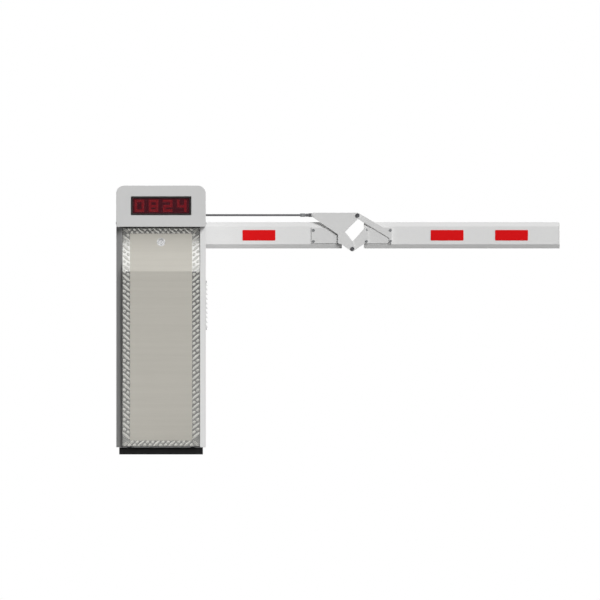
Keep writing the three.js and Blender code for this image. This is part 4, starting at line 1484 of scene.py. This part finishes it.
@dataclass
class Boom:
    """The carrier, the two booms with their caps and reflectors, the fold joint and the pull rod."""

    gate: Gate
    film_corner: float = 3.0 * MM
    nut_near: float = 26 * MM
    nut_far: float = 47.3 * MM
    leaf: float = 4.3 * MM
    inner_columns: tuple[float, float] = (8 * MM, 11 * MM)
    outer_columns: tuple[float, float] = (6 * MM, 4 * MM)
    leaf_rows: tuple[float, float] = (52 * MM, 10 * MM)
    clamp_columns: tuple[float, float] = (-60 * MM, 60 * MM)
    clamp_rows: tuple[float, float] = (-22 * MM, 22 * MM)
    anchor_plate: float = 5 * MM
    anchor_inset: float = 12 * MM
    anchor_rows: tuple[float, float] = (12 * MM, 54 * MM)
    seal_circle: float = 52 * MM
    seal_angles: tuple[float, ...] = (45, 135, 225, 315)

    def build(self) -> None:
        """Make the boom."""
        self.gate.refine_all({"inner_boom": 1.0, "outer_boom": 1.0}, BOOM_COAT, 3)
        caps = (
            "inner_boom_root_cap",
            "inner_boom_fold_cap",
            "outer_boom_fold_cap",
            "outer_boom_tip_cap",
        )
        self.gate.refine_all(dict.fromkeys(caps, 0.8), MOULDED_WHITE)
        plates = (
            "boom_carrier",
            "boom_clamp_plate",
            "inner_leaf_front",
            "inner_leaf_rear",
            "outer_leaf_front",
            "outer_leaf_rear",
            "drive_plate",
            "brace_plate",
            "rod_anchor",
        )
        self.gate.refine_all(dict.fromkeys(plates, 0.8), PLATE_COAT)
        self.gate.refine_all({"hub_flange": 1.5}, DIE_CAST)
        self.gate.refine_all({"fold_pin": 0.8, "brace_bolt": 0.8}, DRAWN_ROD)
        self.gate.refine_all({"rod_pin": 0.6}, PLATE_COAT)
        self.nut_finish(self.gate.refine("pull_rod", DRAWN_ROD, 0.5 * MM))
        self.reflectors()
        self.leaf_screws()
        self.boom_fasteners()

    def nut_finish(self, rod: bpy.types.Object) -> None:
        """Give the rod's lock nut its bright plating.

        Args:
            rod: The rod.
        """
        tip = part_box("rod_pin")[0].x
        rod.data.materials.append(self.gate.made[ZINC_STEEL.name])
        for face in rod.data.polygons:
            if tip - self.nut_far < face.center.x < tip - self.nut_near:
                face.material_index = 1

    def reflectors(self) -> None:
        """Stick a film with round corners on the front, and its twin on the rear."""
        for number in (1, 2, 3):
            node = f"reflector_{number}"
            low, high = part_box(node)
            boom_low, boom_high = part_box("inner_boom" if number == 1 else "outer_boom")
            shift = boom_high.y - boom_low.y + (high.y - low.y)
            for side, step, replaced in (("front", 0.0, [node]), ("rear", shift, [])):
                moved = Vector((0, step, 0))
                film = add_block(f"film_{side}_{number}", low + moved, high + moved)
                pick_edges(film, lambda a, b: abs(a.y - b.y) > 0.3 * MM)
                bpy.ops.mesh.bevel(offset=self.film_corner, segments=5)
                leave_edit()
                round_edges(film, 0.2 * MM)
                self.gate.seat(film, node, REFLECTIVE_RED, replaced)

    def leaf_screws(self) -> None:
        """Screw each of the four leaves to its boom."""
        for half in ("inner", "outer"):
            boom_low, boom_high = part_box(f"{half}_boom")
            for side, way, level in (
                ("front", TOWARDS_DOOR, boom_low.y - self.leaf),
                ("rear", TOWARDS_BOOM, boom_high.y + self.leaf),
            ):
                node = f"{half}_leaf_{side}"
                low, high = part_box(node)
                if half == "inner":
                    (near, far), left, right = self.inner_columns, low.x, boom_high.x
                else:
                    (near, far), left, right = self.outer_columns, boom_low.x, high.x
                columns = (left + near, right - far)
                points = [(x, level, high.z - drop) for x in columns for drop in self.leaf_rows]
                if node == "outer_leaf_front":
                    # The leaf's boss and the brace plate over it bring all but one screw forward.
                    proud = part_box("brace_plate")[0].y
                    raised = [(x, proud, z) for x, _, z in points]
                    points = [points[1], raised[0], *raised[2:]]
                self.gate.fasten(f"{node}_screws", M6_SCREW, node, points, way)

    def boom_fasteners(self) -> None:
        """Bolt on the carrier, the rod's anchor and the shaft's seal flange."""
        fasten = self.gate.fasten
        low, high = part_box("boom_clamp_plate")
        middle = (low.z + high.z) / 2
        places = [(x, middle + z) for x in self.clamp_columns for z in self.clamp_rows]
        points = [(x, high.y, z) for x, z in places]
        fasten("clamp_bolts", M12_BOLT, "boom_clamp_plate", points, TOWARDS_BOOM)
        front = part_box("boom_carrier")[0].y
        points = [(x, front, z) for x, z in places]
        fasten("clamp_nuts", M10_NUT, "boom_carrier", points, TOWARDS_DOOR)
        low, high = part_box("rod_anchor")
        face = low.y + self.anchor_plate
        columns = (low.x + self.anchor_inset, high.x - self.anchor_inset)
        points = [(x, face, low.z + rise) for x in columns for rise in self.anchor_rows]
        fasten("anchor_plate_bolts", M8_BOLT, "rod_anchor", points, TOWARDS_BOOM)
        low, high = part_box("shaft_seal_flange")
        points = circle((low + high) / 2, high.y, self.seal_circle, self.seal_angles)
        fasten("seal_flange_screws", SEAL_SCREW, "shaft_seal_flange", points, TOWARDS_BOOM)


# ---------------------------------------------------------------- studio


@dataclass
class Studio:
    """The camera, the lights, the pale surround and the floor."""

    view_width: float = 2.28
    distance: float = 4.0
    aim: tuple[float, float] = (0.528, 0.587)
    floor_size: float = 40.0
    floor_drop: float = 0.2 * MM
    softness: float = 24.0
    key: tuple[float, float, float] = (1.65, -3.3, 1.8)
    key_strength: float = 2.78
    rim: tuple[float, float, float] = (-1.2, 2.6, 2.4)
    rim_strength: float = 1.1
    glow: float = 0.45
    floor_glow: float = 0.4
    flag: tuple[float, float, float] = (-0.8, -0.6, 0.0)
    flagged: float = 0.0
    band_power: float = 1.72
    below: float = 0.06
    overhead: float = 0.5
    band: tuple[tuple[float, float], ...] = (
        (0.17, 0.06),
        (0.26, 1.0),
        (0.6, 1.0),
        (0.64, 0.3),
        (0.7, 0.3),
        (0.76, 0.5),
    )

    def camera(self) -> None:
        """Look at the gate square from the front, from far away."""
        data = bpy.data.cameras.new("camera")
        data.type = "ORTHO"
        data.ortho_scale = self.view_width
        camera = bpy.data.objects.new("camera", data)
        camera.location = (self.aim[0], -self.distance, self.aim[1])
        camera.rotation_euler = (math.pi / 2, 0, 0)
        bpy.context.scene.collection.objects.link(camera)
        bpy.context.scene.camera = camera

    def lamp(self, name: str, direction: Sequence[float], strength: float) -> None:
        """Shine one broad far light, so soft and so far that the floor is lit evenly.

        Args:
            name: Its name.
            direction: Where it stands, seen from the gate.
            strength: Its strength in watts per square metre.
        """
        data = bpy.data.lights.new(name, "SUN")
        data.energy = strength
        data.angle = math.radians(self.softness)
        light = bpy.data.objects.new(name, data)
        light.visible_glossy = False
        light.rotation_euler = Vector(direction).to_track_quat("Z", "Y").to_euler()
        bpy.context.scene.collection.objects.link(light)

    def lights(self) -> None:
        """Light the gate from the upper right in front, and weakly from behind."""
        self.lamp("key", self.key, self.key_strength)
        self.lamp("rim", self.rim, self.rim_strength)

    def surround(self) -> None:
        """Make the surround: white to the camera, a flagged glow to matt pieces, a band to shiny ones."""
        world = bpy.data.worlds.new("studio")
        bpy.context.scene.world = world
        world.use_nodes = True
        tree = world.node_tree
        tree.nodes.clear()
        way = add_node(tree, "ShaderNodeTexCoord", {}, {}).outputs["Generated"]
        height = add_node(tree, "ShaderNodeSeparateXYZ", {}, {0: way}).outputs["Z"]
        rise = {"From Min": -0.3, "From Max": 0.8, "To Min": self.floor_glow, "To Max": self.glow}
        glow = add_node(tree, "ShaderNodeMapRange", rise, {"Value": height}).outputs[0]
        dot = {"operation": "DOT_PRODUCT", 1: Vector(self.flag).normalized()}
        flag = add_node(tree, "ShaderNodeVectorMath", dot, {0: way}).outputs["Value"]
        fall = {"From Min": 0.0, "From Max": 0.65, "To Min": 1.0, "To Max": self.flagged}
        shade = add_node(tree, "ShaderNodeMapRange", fall, {"Value": flag}).outputs[0]
        times = {"operation": "MULTIPLY"}
        strength = add_node(tree, "ShaderNodeMath", times, {0: glow, 1: shade}).outputs[0]
        band = add_node(tree, "ShaderNodeValToRGB", {}, {0: height})
        ramp = band.color_ramp
        ramp.elements[0].position = 0.0
        ramp.elements[1].position = 1.0
        for place, level in self.band:
            ramp.elements.new(place).color = (level, level, level, 1)
        for stop, level in ((ramp.elements[0], self.below), (ramp.elements[-1], self.overhead)):
            stop.color = (level, level, level, 1)
        rays = add_node(tree, "ShaderNodeLightPath", {}, {}).outputs
        matt, shiny, white = (
            add_node(tree, "ShaderNodeBackground", settings, links).outputs[0]
            for settings, links in (
                ({"Color": WHITE}, {"Strength": strength}),
                ({"Strength": self.band_power}, {"Color": band.outputs[0]}),
                ({"Color": WHITE}, {}),
            )
        )
        mirrored = {0: rays["Is Glossy Ray"], 1: matt, 2: shiny}
        lit = add_node(tree, "ShaderNodeMixShader", {}, mirrored).outputs[0]
        straight = {0: rays["Is Camera Ray"], 1: lit, 2: white}
        seen = add_node(tree, "ShaderNodeMixShader", {}, straight).outputs[0]
        add_node(tree, "ShaderNodeOutputWorld", {}, {"Surface": seen})

    def floor(self) -> None:
        """Lay the plain pale floor."""
        bpy.ops.object.select_all(action="DESELECT")
        bpy.ops.mesh.primitive_plane_add(size=self.floor_size, location=(0, 0, -self.floor_drop))
        floor = settle("floor")
        pale = bpy.data.materials.new("pale_floor")
        pale.use_nodes = True
        shader = pale.node_tree.nodes["Principled BSDF"]
        shader.inputs["Base Color"].default_value = linear("#f4f4f3")
        shader.inputs["Roughness"].default_value = 0.7
        floor.data.materials.append(pale)
        # The surround's own lower half stands for the floor's bounce, which would flatten the shadows.
        floor.visible_diffuse = False


def main() -> None:
    """Load the frame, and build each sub-assembly around it."""
    logging.basicConfig(level=logging.INFO, format="%(name)s: %(message)s")
    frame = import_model()
    bpy.context.scene.view_settings.view_transform = "Standard"
    studio = Studio()
    studio.camera()
    gate = Gate(frame)
    for assembly in (Base, Cabinet, DisplayHead, Door, Drive, Boom):
        LOG.info("building %s", assembly.__name__)
        assembly(gate).build()
    studio.lights()
    studio.surround()
    studio.floor()


if __name__ == "__main__":
    main()
